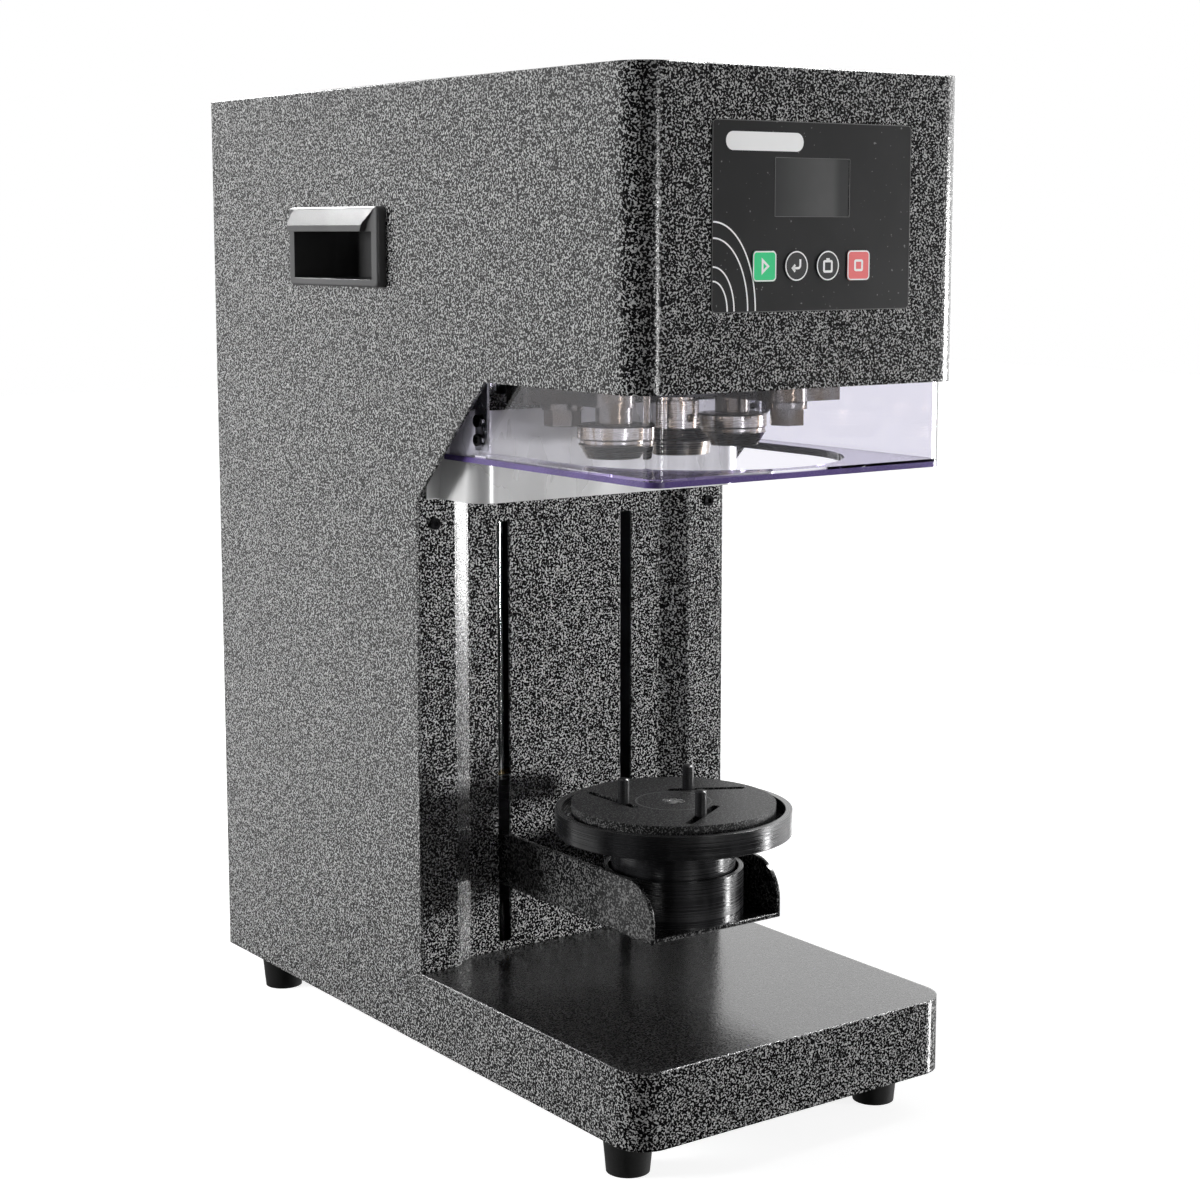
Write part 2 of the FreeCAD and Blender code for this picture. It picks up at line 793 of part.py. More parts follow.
def buildGuard():
    """The clear guard: a tray with three walls, open above and behind, notched for the can."""
    body = newBody("clear_guard")
    outer = half - d.guardSideGap
    inner = outer - d.guardWall
    low = headLow - d.guardDrop
    near = front + d.guardSetback
    height = plateLow - d.seatGap - low
    plan = rectangle(-outer, near, 2 * outer, d.guardRear - d.guardSetback)
    pad(body, outline(body, "guardPlan", "XY", low, plan), "XY", height)
    fillet(body, "guardCorners", d.guardCorner,
           lambda edge: runsAlong(edge, "Z") and abs(edge.CenterOfMass.y - near.number) < 0.01)
    room = rectangle(-inner, near + d.guardWall, 2 * inner, d.guardRear)
    pocket(body, outline(body, "guardRoom", "XY", low + d.guardFloor, room), "XY", height)
    fillet(body, "guardInnerCorners", d.guardCorner - d.guardWall,
           lambda edge: runsAlong(edge, "Z")
           and abs(edge.CenterOfMass.y - (near + d.guardWall).number) < 0.01)
    behind = rectangle(-inner, front + d.guardShelfRear, 2 * inner, d.guardRear)
    pocket(body, outline(body, "guardBehind", "XY", low - 1, behind), "XY", d.guardFloor + 2)
    centre = front + d.guardNotchSetback
    pocket(body, circles(body, "guardRound", "XY", low - 1, [(0, centre)], d.guardNotchRadius),
           "XY", d.guardFloor + 2)
    radius = d.guardNotchRadius
    straight = rectangle(-radius, centre, 2 * radius, d.guardRear)
    pocket(body, outline(body, "guardStraight", "XY", low - 1, straight), "XY", d.guardFloor + 2)
    levels = [headLow - d.guardScrewDrop, headLow - d.guardScrewDrop - d.guardScrewPitch]
    holes = [(front + d.guardScrewSetback, level) for level in levels]
    pocket(body, circles(body, "guardHoles", "YZ", -half, holes, d.screwRadius + d.runningClearance),
           "YZ", d.bodyWidth)

    straps = []
    screws = []
    strapLow = levels[1] - d.strapWidth / 2
    for side, name in ((-1, "Left"), (1, "Right")):
        flank = side * (inner - d.seatGap)
        x = flank - d.strapThickness if side > 0 else flank
        strap = block(f"strap{name}", x, front + d.guardScrewSetback - d.strapWidth / 2, strapLow,
                      d.strapThickness, d.strapWidth, plateLow - strapLow)
        bores = []
        for number, level in enumerate(levels):
            bores.append(rod(f"strapBore{name}{number}", x - 1, front + d.guardScrewSetback, level,
                             d.screwRadius, d.strapThickness + 2, "X"))
            screws.append(screw(f"guardScrew{name}{number}", side * outer,
                                front + d.guardScrewSetback, level, "X", side))
        straps.append(cut(f"strapCut{name}", strap, *bores))
    node("guard_brackets", group("guardBrackets", *straps))
    node("guard_screws", group("guardScrews", *screws))


def buildPanel():
    """The control panel: film, keys, display and the board behind them."""
    film = newBody("control_panel_film")
    face = rectangle(-d.filmWidth / 2 + filmShift, filmLow, d.filmWidth, d.filmHeight)
    start = front - d.filmThickness
    pad(film, outline(film, "filmFace", "XZ", start, face), "XZ", d.filmThickness)
    fillet(film, "filmCorners", d.filmCorner, lambda edge: runsAlong(edge, "Y"))
    cutPanelOpenings(film, d.keyGap, "film", start - 1, d.filmThickness + 1.01)

    capFront = front - frontProud
    boardFront = front + d.boardSetback
    plungerEnd = boardFront - switchTall - d.keyTravel - d.seatGap
    for number, (name, x) in enumerate(zip(keyNames, keyPlaces)):
        key = newBody(name)
        depth = frontProud + d.wall + 0.5
        if number in (0, 3):
            sketch = outline(key, f"cap{number}", "XZ", capFront, squareKey(x, 0))
            pad(key, sketch, "XZ", depth)
            fillet(key, f"capCorners{number}", d.keyCorner, lambda edge: runsAlong(edge, "Y"))
        else:
            sketch = circles(key, f"cap{number}", "XZ", capFront, [(x, keyLevel)], d.keyRadius)
            pad(key, sketch, "XZ", depth)
        stem = circles(key, f"stem{number}", "XZ", capFront + depth, [(x, keyLevel)], d.keyRadius / 3)
        pad(key, stem, "XZ", plungerEnd - capFront - depth)

    board = block("board", -filmInner / 2, boardFront, filmLow + 6, filmInner,
                  d.boardThickness, d.filmHeight - 12)
    switches = [block(f"tact{number}", x - 3, boardFront - switchTall, keyLevel - 3, 6, switchTall, 6)
                for number, x in enumerate(keyPlaces)]
    posts = [rod(f"boardPost{number}", x, front + d.wall, z, 2.5, d.boardSetback - d.wall, "Y")
             for number, (x, z) in enumerate(boardCorners())]
    node("control_board", fuse("controlBoard", board, *switches, *posts))

    glass = block("displayGlass", -displaySide, front - d.filmThickness / 2, displayLow,
                  d.displayWidth, d.filmThickness / 2 + d.wall + 0.5, d.displayHeight)
    case = block("displayCase", -displaySide - 6, front + d.wall + 0.5, displayLow - 4,
                 d.displayWidth + 12, d.boardSetback - d.wall - 0.5, d.displayHeight + 8)
    node("display_module", fuse("displayModule", glass, case))


def boardCorners():
    across = filmInner / 2 - 5
    levels = [filmLow + 11, filmLow + d.filmHeight - 11]
    return [(side * across, level) for side in (-1, 1) for level in levels]


def buildHandles():
    """A recessed pull handle: a rim on the outside, a hood over the mouth and a rounded cup."""
    body = newBody("pull_handle_left")
    start = front + d.handleFront
    low = handleLow
    face = -half - d.handleProud
    rim = rectangle(start, low, d.handleLength, d.handleHeight)
    pad(body, outline(body, "handleRim", "YZ", face, rim), "YZ", d.handleProud)
    fillet(body, "handleRimCorners", d.handleCorner, lambda edge: runsAlong(edge, "X"))
    fillet(body, "handleRimEdges", d.handleRound,
           lambda edge: abs(edge.CenterOfMass.x - face.number) < 0.01)
    hoodLow = low + d.handleHeight - d.handleHood
    slope = [
        (face + d.handleRound, hoodLow),
        (face - d.hoodProud, hoodLow),
        (face - d.hoodProud, hoodLow + d.handleHood / 4),
        (face, hoodLow + d.handleHood - d.handleRound),
        (face + d.handleRound, hoodLow + d.handleHood - d.handleRound),
    ]
    hood = d.handleLength - 2 * d.hoodInset
    pad(body, outline(body, "handleHood", "XZ", start + d.hoodInset, slope), "XZ", hood)
    hoodTop = hoodLow + d.handleHood
    bevel = [
        (start, hoodLow - 1),
        (start + d.hoodBevel, hoodLow - 1),
        (start + d.hoodBevel, hoodLow),
        (start + d.hoodBevel * 0.84, hoodLow + d.handleHood * 0.35),
        (start + d.hoodBevel * 0.5, hoodLow + d.handleHood * 0.65),
        (start + d.hoodInset, hoodTop - d.handleRound),
        (start, hoodTop - d.handleRound),
    ]
    sketch = outline(body, "handleBevel", "YZ", face - d.hoodProud - 1, bevel)
    pocket(body, sketch, "YZ", d.hoodProud + 1)
    end = start + d.handleLength - d.hoodInset
    corner = [
        (end + 1, hoodTop),
        (end - d.hoodInset, hoodTop),
        (end - d.hoodInset, hoodTop - d.handleRound),
        (end - d.hoodInset * 0.3, hoodTop - d.hoodInset),
        (end, hoodTop - 2 * d.hoodInset),
        (end + 1, hoodTop - 2 * d.hoodInset),
    ]
    sketch = outline(body, "handleRearBevel", "YZ", face - d.hoodProud - 1, corner)
    pocket(body, sketch, "YZ", d.hoodProud + 1)
    cup = rectangle(start + cupInset + d.seatGap, low + cupLowInset + d.seatGap, cupLength, cupTall)
    pad(body, outline(body, "handleCup", "YZ", -half, cup), "YZ", d.cupDepth)
    mouth = [
        (face - d.hoodProud - 1, start + d.handleSideRim),
        (-half + d.cupDepth - d.cupWall, start + d.handleSideRim),
        (-half + d.cupDepth - d.cupWall, start + d.handleLength - d.handleSideRim),
        (face - d.hoodProud - 1, start + d.handleLength - d.handleSideRim),
    ]
    sketch = outline(body, "handleMouth", "XY", low + d.handleLowRim, mouth)
    pocket(body, sketch, "XY", d.handleHeight - d.handleLowRim - d.handleHood)
    fillet(body, "handleMouthBack", d.cupRadius - d.cupWall,
           lambda edge: runsAlong(edge, "Z")
           and abs(edge.CenterOfMass.x - (-half + d.cupDepth - d.cupWall).number) < 0.01)
    fillet(body, "handleCupBack", d.cupRadius,
           lambda edge: runsAlong(edge, "Z")
           and abs(edge.CenterOfMass.x - (-half + d.cupDepth).number) < 0.01)
    other = doc.addObject("Part::Mirroring", "pullHandleRight")
    other.Source = body
    other.Normal = FreeCAD.Vector(1, 0, 0)
    node("pull_handle_right", other)


# The works turn about one upright axis at (0, axis).
gearPitch = d.gearModule / 2
pinionAway = gearPitch * (d.spindleTeeth + d.pinionTeeth)
camPinionAway = gearPitch * (d.camTeeth + d.pinionTeeth)


def around(distance, degrees):
    """A point of the works at a distance and a direction from the axis."""
    angle = math.radians(degrees)
    return distance * math.cos(angle), axis + distance * math.sin(angle)


camLow = plateTop + d.camGap
gearSlack = 0.12
pinShares = [10.4 / 43, 10.4 / 43, 24.5 / 43]
spindleMotorAt = around(pinionAway, dimensions["spindleMotorTurn"])
camMotorAt = around(camPinionAway, dimensions["camMotorTurn"])


def buildFrame():
    """The folded inner frame, the head plate on it and the guide rods between them."""
    body = newBody("frame_column")
    wide = half - d.frameSideGap
    back = front + d.frameRear
    nose = back - d.frameFlange
    plan = [
        (-wide, nose),
        (-wide + d.frameSheet, nose),
        (-wide + d.frameSheet, back - d.frameSheet),
        (wide - d.frameSheet, back - d.frameSheet),
        (wide - d.frameSheet, nose),
        (wide, nose),
        (wide, back),
        (-wide, back),
    ]
    foot = base + d.bottomThickness
    pad(body, outline(body, "framePlan", "XY", foot, plan), "XY", plateLow - foot)
    fillet(body, "frameBends", d.frameSheet * 1.5,
           lambda edge: runsAlong(edge, "Z") and abs(edge.CenterOfMass.y - back.number) < 0.01)

    plate = newBody("head_plate")
    side = inside - d.seatGap
    near = front + d.wall + 1
    corners = rectangle(-side, near, 2 * side, front + d.frameRear - near)
    pad(plate, outline(plate, "platePlan", "XY", plateLow, corners), "XY", d.headPlateThickness)
    fillet(plate, "plateCorners", d.cornerRadius - d.wall,
           lambda edge: runsAlong(edge, "Z") and abs(edge.CenterOfMass.y - near.number) < 0.01)
    depth = d.headPlateThickness + 2
    bore = circles(plate, "plateBore", "XY", plateLow - 1, [(0, axis)], d.housingRadius)
    pocket(plate, bore, "XY", depth)
    for turn in (-1, 1):
        x, y = turn * followerAcross, axis - turn * followerAlong
        window = rectangle(x - windowHalf, y - windowSide, 2 * windowHalf, 2 * windowSide)
        pocket(plate, outline(plate, f"plateWindow{turn + 1}", "XY", plateLow - 1, window), "XY", depth)
    rods = [(sign * d.rodSpacing / 2, front + d.rodSetback) for sign in (-1, 1)]
    pocket(plate, circles(plate, "plateRods", "XY", plateLow - 1, rods, d.rodRadius), "XY", depth)
    through = circles(plate, "plateScrew", "XY", plateLow - 1, [(0, front + d.rodSetback)],
                      d.nutRadius)
    pocket(plate, through, "XY", depth)
    pivots = [(turn * d.pivotAcross, axis - turn * d.pivotAlong) for turn in (-1, 1)]
    pocket(plate, circles(plate, "platePivots", "XY", plateLow - 1, pivots, d.boltRadius), "XY", depth)

    long = plateTop - foot - 0.5
    node("guide_rods", group("guideRods", *[
        rod(f"guideRod{number}", x, y, foot, d.rodRadius, long) for number, (x, y) in enumerate(rods)]))


# Where a follower pin stands at rest, from the axis; the other one lies opposite.
armLength = ((d.pivotAcross - d.rollerAcross) * (d.pivotAcross - d.rollerAcross)
             + (d.pivotAlong + d.rollerAlong) * (d.pivotAlong + d.rollerAlong)).number ** 0.5
followerShare = d.followerReach / armLength
followerAcross = d.pivotAcross - (d.pivotAcross - d.rollerAcross) * followerShare
followerAlong = d.pivotAlong - (d.pivotAlong + d.rollerAlong) * followerShare
swing = math.radians(dimensions["armSwing"])
windowHalf = d.followerReach * math.sin(swing) + d.followerRadius + 1
windowSide = d.followerRadius + 2


def buildSpindle():
    """The bearing housing, the spindle in it and the seaming chuck below."""
    low = headLow - d.noseDrop
    high = headLow + d.housingRise
    radius = d.housingRadius
    seat = d.bearingRadius
    room = seat - 3
    width = d.bearingWidth
    profile = [
        (room, low - low),
        (d.noseRadius, low - low),
        (d.noseRadius, plateLow - low),
        (radius, plateLow - low),
        (radius, high - low),
        (seat, high - low),
        (seat, high - low - width),
        (room, high - low - width),
        (room, plateLow - low + width),
        (seat, plateLow - low + width),
        (seat, plateLow - low),
        (room, plateLow - low),
    ]
    turned("spindle_housing", profile, 0, axis, low)
    rings = []
    bore = d.spindleRadius + d.runningClearance
    for number, z in enumerate((plateLow, high - width)):
        ring = rod(f"bearing{number}", 0, axis, z, seat, width)
        rings.append(cut(f"bearingCut{number}", ring, rod(f"bearingBore{number}", 0, axis, z - 1,
                                                          bore, width + 2)))
    node("spindle_bearings", group("spindleBearings", *rings))

    chuckLow = headLow - d.chuckDrop
    end = bridgeLow - 3
    shaftLow = chuckLow + 5
    turned("spindle_shaft", [
        (0, 0),
        (d.spindleRadius, 0),
        (d.spindleRadius, end - shaftLow),
        (0, end - shaftLow),
    ], 0, axis, shaftLow)
    rim = d.chuckRim
    cone = d.chuckCone
    tall = d.sleeveHeight
    chuck = turned("seaming_chuck", [
        (0, 4),
        (d.chuckRadius - 5, 4),
        (d.chuckRadius - 4, 0),
        (d.chuckRadius - 1, 0),
        (d.chuckRadius, rim),
        (d.sleeveRadius, rim + cone),
        (d.sleeveRadius, tall),
        (d.spindleRadius, tall),
        (d.spindleRadius, 5),
        (0, 5),
    ], 0, axis, chuckLow)
    level = tall - 10
    hole = circles(chuck, "setScrewHole", "XZ", -d.sleeveRadius - 1, [(0, level)], d.screwRadius + 0.5)
    pocket(chuck, hole, "XZ", d.sleeveRadius - d.spindleRadius + 1)


def gearRim(teeth, module, clearance):
    """The closed outline of a spur gear with straight-sided teeth of standard height."""
    pitch = module * teeth / 2
    root = pitch - 1.25 * module
    tip = pitch + 0.9 * module
    slope = math.tan(math.radians(20)) * module / pitch
    halfTooth = math.pi / (2 * teeth) - clearance / pitch
    shape = ((root, halfTooth + 0.85 * slope), (pitch, halfTooth), (tip, halfTooth - slope))
    corners = []
    for tooth in range(teeth):
        middle = 2 * math.pi * tooth / teeth
        for radius, turn in shape:
            corners.append((radius, middle - turn))
        for radius, turn in reversed(shape):
            corners.append((radius, middle + turn))
    points = [FreeCAD.Vector(r * math.cos(a), r * math.sin(a), 0) for r, a in corners]
    return Part.Face(Part.makePolygon(points + points[:1]))


def gear(teeth, thickness, bore, firstTooth):
    """A spur gear about its own Z, with a tooth pointing at an angle in degrees."""
    rim = gearRim(int(teeth), dimensions["gearModule"], gearSlack)
    blank = rim.extrude(FreeCAD.Vector(0, 0, thickness.number))
    blank.rotate(FreeCAD.Vector(), FreeCAD.Vector(0, 0, 1), firstTooth)
    hole = Part.makeCylinder(bore.number, thickness.number)
    return blank.cut(hole)


def feature(label, shape, x, y, z):
    """Keep a worked-out shape as an object of the document, then put it in its place."""
    piece = doc.addObject("Part::Feature", label)
    piece.Shape = shape
    place(piece, x, y, z)
    return node(label, piece)


def geared(label, direction, middle, low, thickness):
    """A pinion with its motor's shaft, turned so that a tooth space faces the big gear."""
    teeth = dimensions["pinionTeeth"]
    pinion = gear(teeth, thickness, sized(1), direction + 180 + 180 / teeth)
    long = bridgeTop + 10 - low
    shaft = Part.makeCylinder(dimensions["motorShaftRadius"], long.number)
    return feature(label, pinion.fuse(shaft).removeSplitter(), *middle, low)


def buildSpindleDrive():
    """The spur gears that drive the spindle, their motor and the bridge it stands on."""
    turn = dimensions["spindleMotorTurn"]
    low = headLow + d.gearRise
    feature("spindle_gear", gear(dimensions["spindleTeeth"], d.gearWidth, d.spindleRadius, turn),
            0, axis, low)
    geared("spindle_pinion", turn, spindleMotorAt, low, d.gearWidth)

    x, y = spindleMotorAt
    turned("spindle_motor", motorProfile(d.spindleMotorRadius, d.spindleMotorHeight), x, y, bridgeTop)
    x, y = camMotorAt
    turned("cam_motor", motorProfile(d.camMotorRadius, d.camMotorHeight), x, y, bridgeTop)

    bridge = newBody("motor_bridge")
    near = axis + d.bridgeFront
    wide = half - d.bridgeSideGap
    plan = rectangle(-wide, near, 2 * wide, d.bridgeLength)
    pad(bridge, outline(bridge, "bridgePlan", "XY", bridgeLow, plan), "XY", d.bridgeThickness)
    fillet(bridge, "bridgeCorners", 6, lambda edge: runsAlong(edge, "Z"))
    holes = circles(bridge, "bridgeHoles", "XY", bridgeLow - 1,
                    [spindleMotorAt, camMotorAt], d.motorShaftRadius + 1)
    pocket(bridge, holes, "XY", d.bridgeThickness + 2)
    pillars = []
    for side in (-1, 1):
        for along in (near + d.pillarInset, near + d.bridgeLength - d.pillarInset):
            pillars.append(rod(f"pillar{len(pillars)}", side * (wide - d.pillarInset),
                               along, plateTop, d.pillarRadius, bridgeLow - plateTop))
    node("bridge_pillars", group("bridgePillars", *pillars))


def motorProfile(radius, height):
    """A round motor with a flange, a case and a stepped end cap, and a hole for its shaft."""
    hole = d.motorShaftRadius + d.runningClearance
    bandLow = height - d.motorCrown - d.motorBand
    return [
        (hole, 0),
        (radius, 0),
        (radius, d.motorFlange),
        (radius - d.motorStep, d.motorFlange * 1.25),
        (radius - d.motorStep, bandLow - d.motorFlange / 4),
        (radius, bandLow),
        (radius, height - d.motorCrown),
        (radius - d.motorCrown, height),
        (0, height),
        (0, d.motorShaftDepth),
        (hole, d.motorShaftDepth),
    ]


def pinPlace(angle):
    """The first follower pin from the axis, when its arm has swung by an angle."""
    reach = dimensions["followerReach"]
    lean = math.atan2(-(d.pivotAlong + d.rollerAlong).number, (d.pivotAcross - d.rollerAcross).number)
    x = -dimensions["pivotAcross"] + reach * math.cos(lean + angle)
    y = dimensions["pivotAlong"] + reach * math.sin(lean + angle)
    return x, y


def camPath(share, sense, halfTurn):
    """Where the ring meets a follower pin, at a share of the full turn, seen from the ring."""
    x, y = pinPlace(swing * share * sense)
    turn = halfTurn - math.radians(dimensions["camSwing"]) * share
    return FreeCAD.Vector(x * math.cos(turn) - y * math.sin(turn),
                          x * math.sin(turn) + y * math.cos(turn), 0)


def camSlot(sense, halfTurn):
    """The slot that one follower pin cuts in the ring while ring and arm turn together."""
    radius = dimensions["followerRadius"] + dimensions["camClearance"]
    steps = 12
    left = []
    right = []
    for step in range(-steps, steps + 1):
        here = camPath(step / steps, sense, halfTurn)
        ahead = camPath(step / steps + 0.001, sense, halfTurn) - here
        across = FreeCAD.Vector(-ahead.y, ahead.x, 0) * (radius / ahead.Length)
        left.append(here + across)
        right.append(here - across)
    sides = []
    for points in (left, right):
        curve = Part.BSplineCurve()
        curve.interpolate(points)
        sides.append(curve.toShape())
    for end in (0, -1):
        out = (left[1] - left[0] if end == 0 else left[-2] - left[-1])
        middle = (left[end] + right[end]) / 2 - out * (radius / out.Length)
        sides.append(Part.Arc(left[end], middle, right[end]).toShape())
    rim = Part.Wire(Part.sortEdges(sides)[0])
    return Part.Face(rim).extrude(FreeCAD.Vector(0, 0, dimensions["camThickness"]))


def buildCam():
    """The toothed cam ring whose two slots swing the arms in turn, and its pinion."""
    turn = dimensions["camMotorTurn"]
    ring = gear(dimensions["camTeeth"], d.camThickness, d.housingRadius + d.runningClearance, turn)
    for sense, halfTurn in ((1, 0), (-1, math.pi)):
        ring = ring.cut(camSlot(sense, halfTurn))
    feature("cam_ring", ring, 0, axis, camLow)
    geared("cam_pinion", turn, camMotorAt, camLow, d.camThickness)


def armPlacement(piece, turn, z):
    """Put a piece drawn from a pivot towards its roller in its place; turn 1 is the right arm."""
    lean = math.degrees(math.atan2(-(d.pivotAlong + d.rollerAlong).number,
                                   (d.pivotAcross - d.rollerAcross).number))
    piece.Placement.Rotation = FreeCAD.Rotation(FreeCAD.Vector(0, 0, 1), lean + 90 * (turn + 1))
    place(piece, turn * d.pivotAcross, axis - turn * d.pivotAlong, z)


def buildArms():
    """Two equal bell crank arms on shoulder bolts, each with a roller on its axle."""
    low = armLow
    for turn, name in ((-1, "first"), (1, "second")):
        thick = d.armThickness
        radius = d.armWidth / 2
        drop = d.rollerDrop - d.armDrop - d.rollerCone - d.rollerFace - d.washerGap
        blank = fuse(
            name + "ArmBlank",
            rod(name + "ArmHub", 0, 0, 0, radius, thick),
            rod(name + "ArmEnd", armLength, 0, 0, radius, thick),
            block(name + "ArmBar", 0, -radius, 0, armLength, d.armWidth, thick),
            block(name + "ArmTail", -d.tailWidth / 2, -armTail, 0, d.tailWidth, armTail, thick),
            rod(name + "Follower", d.followerReach, 0, thick, d.followerRadius,
                camLow + d.camThickness - low - thick),
            rod(name + "Collar", armLength, 0, -drop, d.collarRadius, drop),
            rod(name + "Axle", armLength, 0, -drop - d.axleLength, d.axleRadius, d.axleLength),
            rod(name + "ClampScrew", d.tailWidth / 2, -armTail * 0.75, thick / 2, d.screwHeadRadius,
                d.screwHeadHeight * 2, "X"),
        )
        bore = rod(name + "ArmBore", 0, 0, -1, d.pivotRadius + d.runningClearance, thick + 2)
        slit = block(name + "ArmSlit", -d.clampSlit / 2, -armTail - 1, -1, d.clampSlit,
                     armTail - d.pivotRadius, thick + 2)
        socket = rod(name + "ClampSocket", d.tailWidth / 2 + d.screwHeadHeight, -armTail * 0.75,
                     thick / 2, d.screwHeadRadius / 2, d.screwHeadHeight + 1, "X")
        arm = node(f"{name}_roller_arm", cut(name + "Arm", blank, bore, slit, socket))
        armPlacement(arm, turn, low)

        face = d.rollerCone
        high = face + d.rollerFace
        groove = d.firstGroove if turn < 0 else d.secondGroove
        x = turn * d.rollerAcross
        y = axis + turn * d.rollerAlong
        inner = d.axleRadius + d.runningClearance
        turned(f"{name}_seaming_roller", [
            (0, 0),
            (d.rollerEndRadius, 0),
            (d.rollerRadius - 0.6, face - 0.4),
            (d.rollerRadius - groove, face + 0.6),
            (d.rollerRadius - groove, face + 2.4),
            (d.rollerRadius, face + 3.2),
            (d.rollerRadius, high - 1),
            (d.rollerRadius - 1, high),
            (inner, high),
            (inner, d.rollerFloor),
            (0, d.rollerFloor),
        ], x, y, headLow - d.rollerDrop)

    bolts = []
    washers = []
    washerLow = armLow - d.washerGap - d.washerThickness
    for turn in (-1, 1):
        x, y = turn * d.pivotAcross, axis - turn * d.pivotAlong
        head = doc.addObject("Part::Prism", f"boltHead{turn + 1}")
        head.Polygon = 6
        bind(head, Circumradius=d.hexAcrossFlats / 3 ** 0.5, Height=d.hexHeight)
        place(head, x, y, washerLow - d.hexHeight)
        head.Placement.Rotation = FreeCAD.Rotation(FreeCAD.Vector(0, 0, 1), 24 if turn < 0 else 54)
        shoulder = rod(f"boltShoulder{turn + 1}", x, y, washerLow, d.pivotRadius, plateLow - washerLow)
        thread = rod(f"boltThread{turn + 1}", x, y, plateLow, d.boltRadius, d.headPlateThickness - 0.5)
        bolts.append(fuse(f"bolt{turn + 1}", head, shoulder, thread))
        ring = rod(f"washer{turn + 1}", x, y, washerLow, d.washerRadius, d.washerThickness)
        hole = rod(f"washerHole{turn + 1}", x, y, washerLow - 1, d.pivotRadius, d.washerThickness + 2)
        washers.append(cut(f"washerCut{turn + 1}", ring, hole))
    node("arm_pivot_bolts", group("armPivotBolts", *bolts))
    node("pivot_washers", group("pivotWashers", *washers))


def trayScrewPlaces():
    """Where the tray's screws stand on each side, from the front and from the floor."""
    level = base + d.trayLow + d.trayHeight / 2
    return [(front + d.rodSetback + step, level) for step in (-d.trayScrewNear, d.trayScrewFar)]


def buildLift():
    """The screw lift: foot block, screw, motor, and the carriage with its nut and bushes."""
    y = front + d.rodSetback
    foot = base + d.bottomThickness
    bore = d.screwShaftRadius + d.runningClearance
    reach = d.rodSpacing / 2 + d.footBlockMargin
    blank = block("liftFoot", -reach, y - d.footBlockDepth / 2, foot, 2 * reach, d.footBlockDepth,
                  d.footBlockHeight)
    step = d.footBlockHeight / 4
    tools = [rod("liftFootBore", 0, y, foot + step, bore, d.footBlockHeight)]
    for side in (-1, 1):
        tools.append(rod(f"liftFootRod{side + 1}", side * d.rodSpacing / 2, y, foot - 1, d.rodRadius,
                         d.footBlockHeight + 2))
    node("lift_foot_block", cut("liftFootBlock", blank, *tools))
    screwLow = foot + step + 0.2
    node("lift_screw", rod("liftScrew", 0, y, screwLow, d.screwShaftRadius,
                           plateTop + d.liftMotorGrip - screwLow))

    side = d.liftMotorSide
    flange = d.liftMotorFlange
    cap = d.liftMotorCap
    slim = side - 2 * d.liftMotorStep
    case = fuse(
        "liftMotorBlank",
        block("liftMotorFoot", -side / 2, y - side / 2, plateTop, side, side, flange),
        block("liftMotorCase", -slim / 2, y - slim / 2, plateTop + flange, slim, slim,
              d.liftMotorHeight - flange - cap),
        block("liftMotorHead", -side / 2, y - side / 2, plateTop + d.liftMotorHeight - cap, side, side,
              cap),
    )
    hole = rod("liftMotorBore", 0, y, plateTop - 1, bore, d.liftMotorGrip + 2)
    node("lift_motor", cut("liftMotor", case, hole))

    low = base + d.carriageLow
    high = low + d.carriageHeight
    wide = d.slotSpacing / 2 - d.traySheet / 2
    blank = block("carriageBlank", -wide, y - d.carriageDepth / 2, low, 2 * wide, d.carriageDepth,
                  d.carriageHeight)
    tools = [rod("carriageNutBore", 0, y, low - 1, d.nutRadius, d.carriageHeight + 2)]
    bushes = []
    for side in (-1, 1):
        x = side * d.rodSpacing / 2
        tools.append(rod(f"carriageBore{side + 1}", x, y, low - 1, d.bushRadius, d.carriageHeight + 2))
        for z in (low, high - d.bushLength):
            name = f"bush{len(bushes)}"
            ring = rod(name, x, y, z, d.bushRadius, d.bushLength)
            hole = rod(name + "Bore", x, y, z - 1, d.rodRadius + d.runningClearance, d.bushLength + 2)
            bushes.append(cut(name + "Cut", ring, hole))
    for side in (-1, 1):
        for number, (along, level) in enumerate(trayScrewPlaces()):
            start = side * wide if side < 0 else wide - d.screwLength
            tools.append(rod(f"carriageTap{side + 1}{number}", start, along, level, d.screwRadius,
                             d.screwLength, "X"))
    node("lift_carriage", cut("liftCarriage", blank, *tools))
    node("guide_bushes", group("guideBushes", *bushes))
    nut = fuse(
        "nutBlank",
        rod("nutSleeve", 0, y, low, d.nutRadius, d.carriageHeight / 2),
        rod("nutFlange", 0, y, low - d.nutFlange, d.nutFlangeRadius, d.nutFlange),
    )
    hole = rod("nutBore", 0, y, low - d.nutFlange - 1, bore, d.carriageHeight)
    node("lift_nut", cut("liftNut", nut, hole))


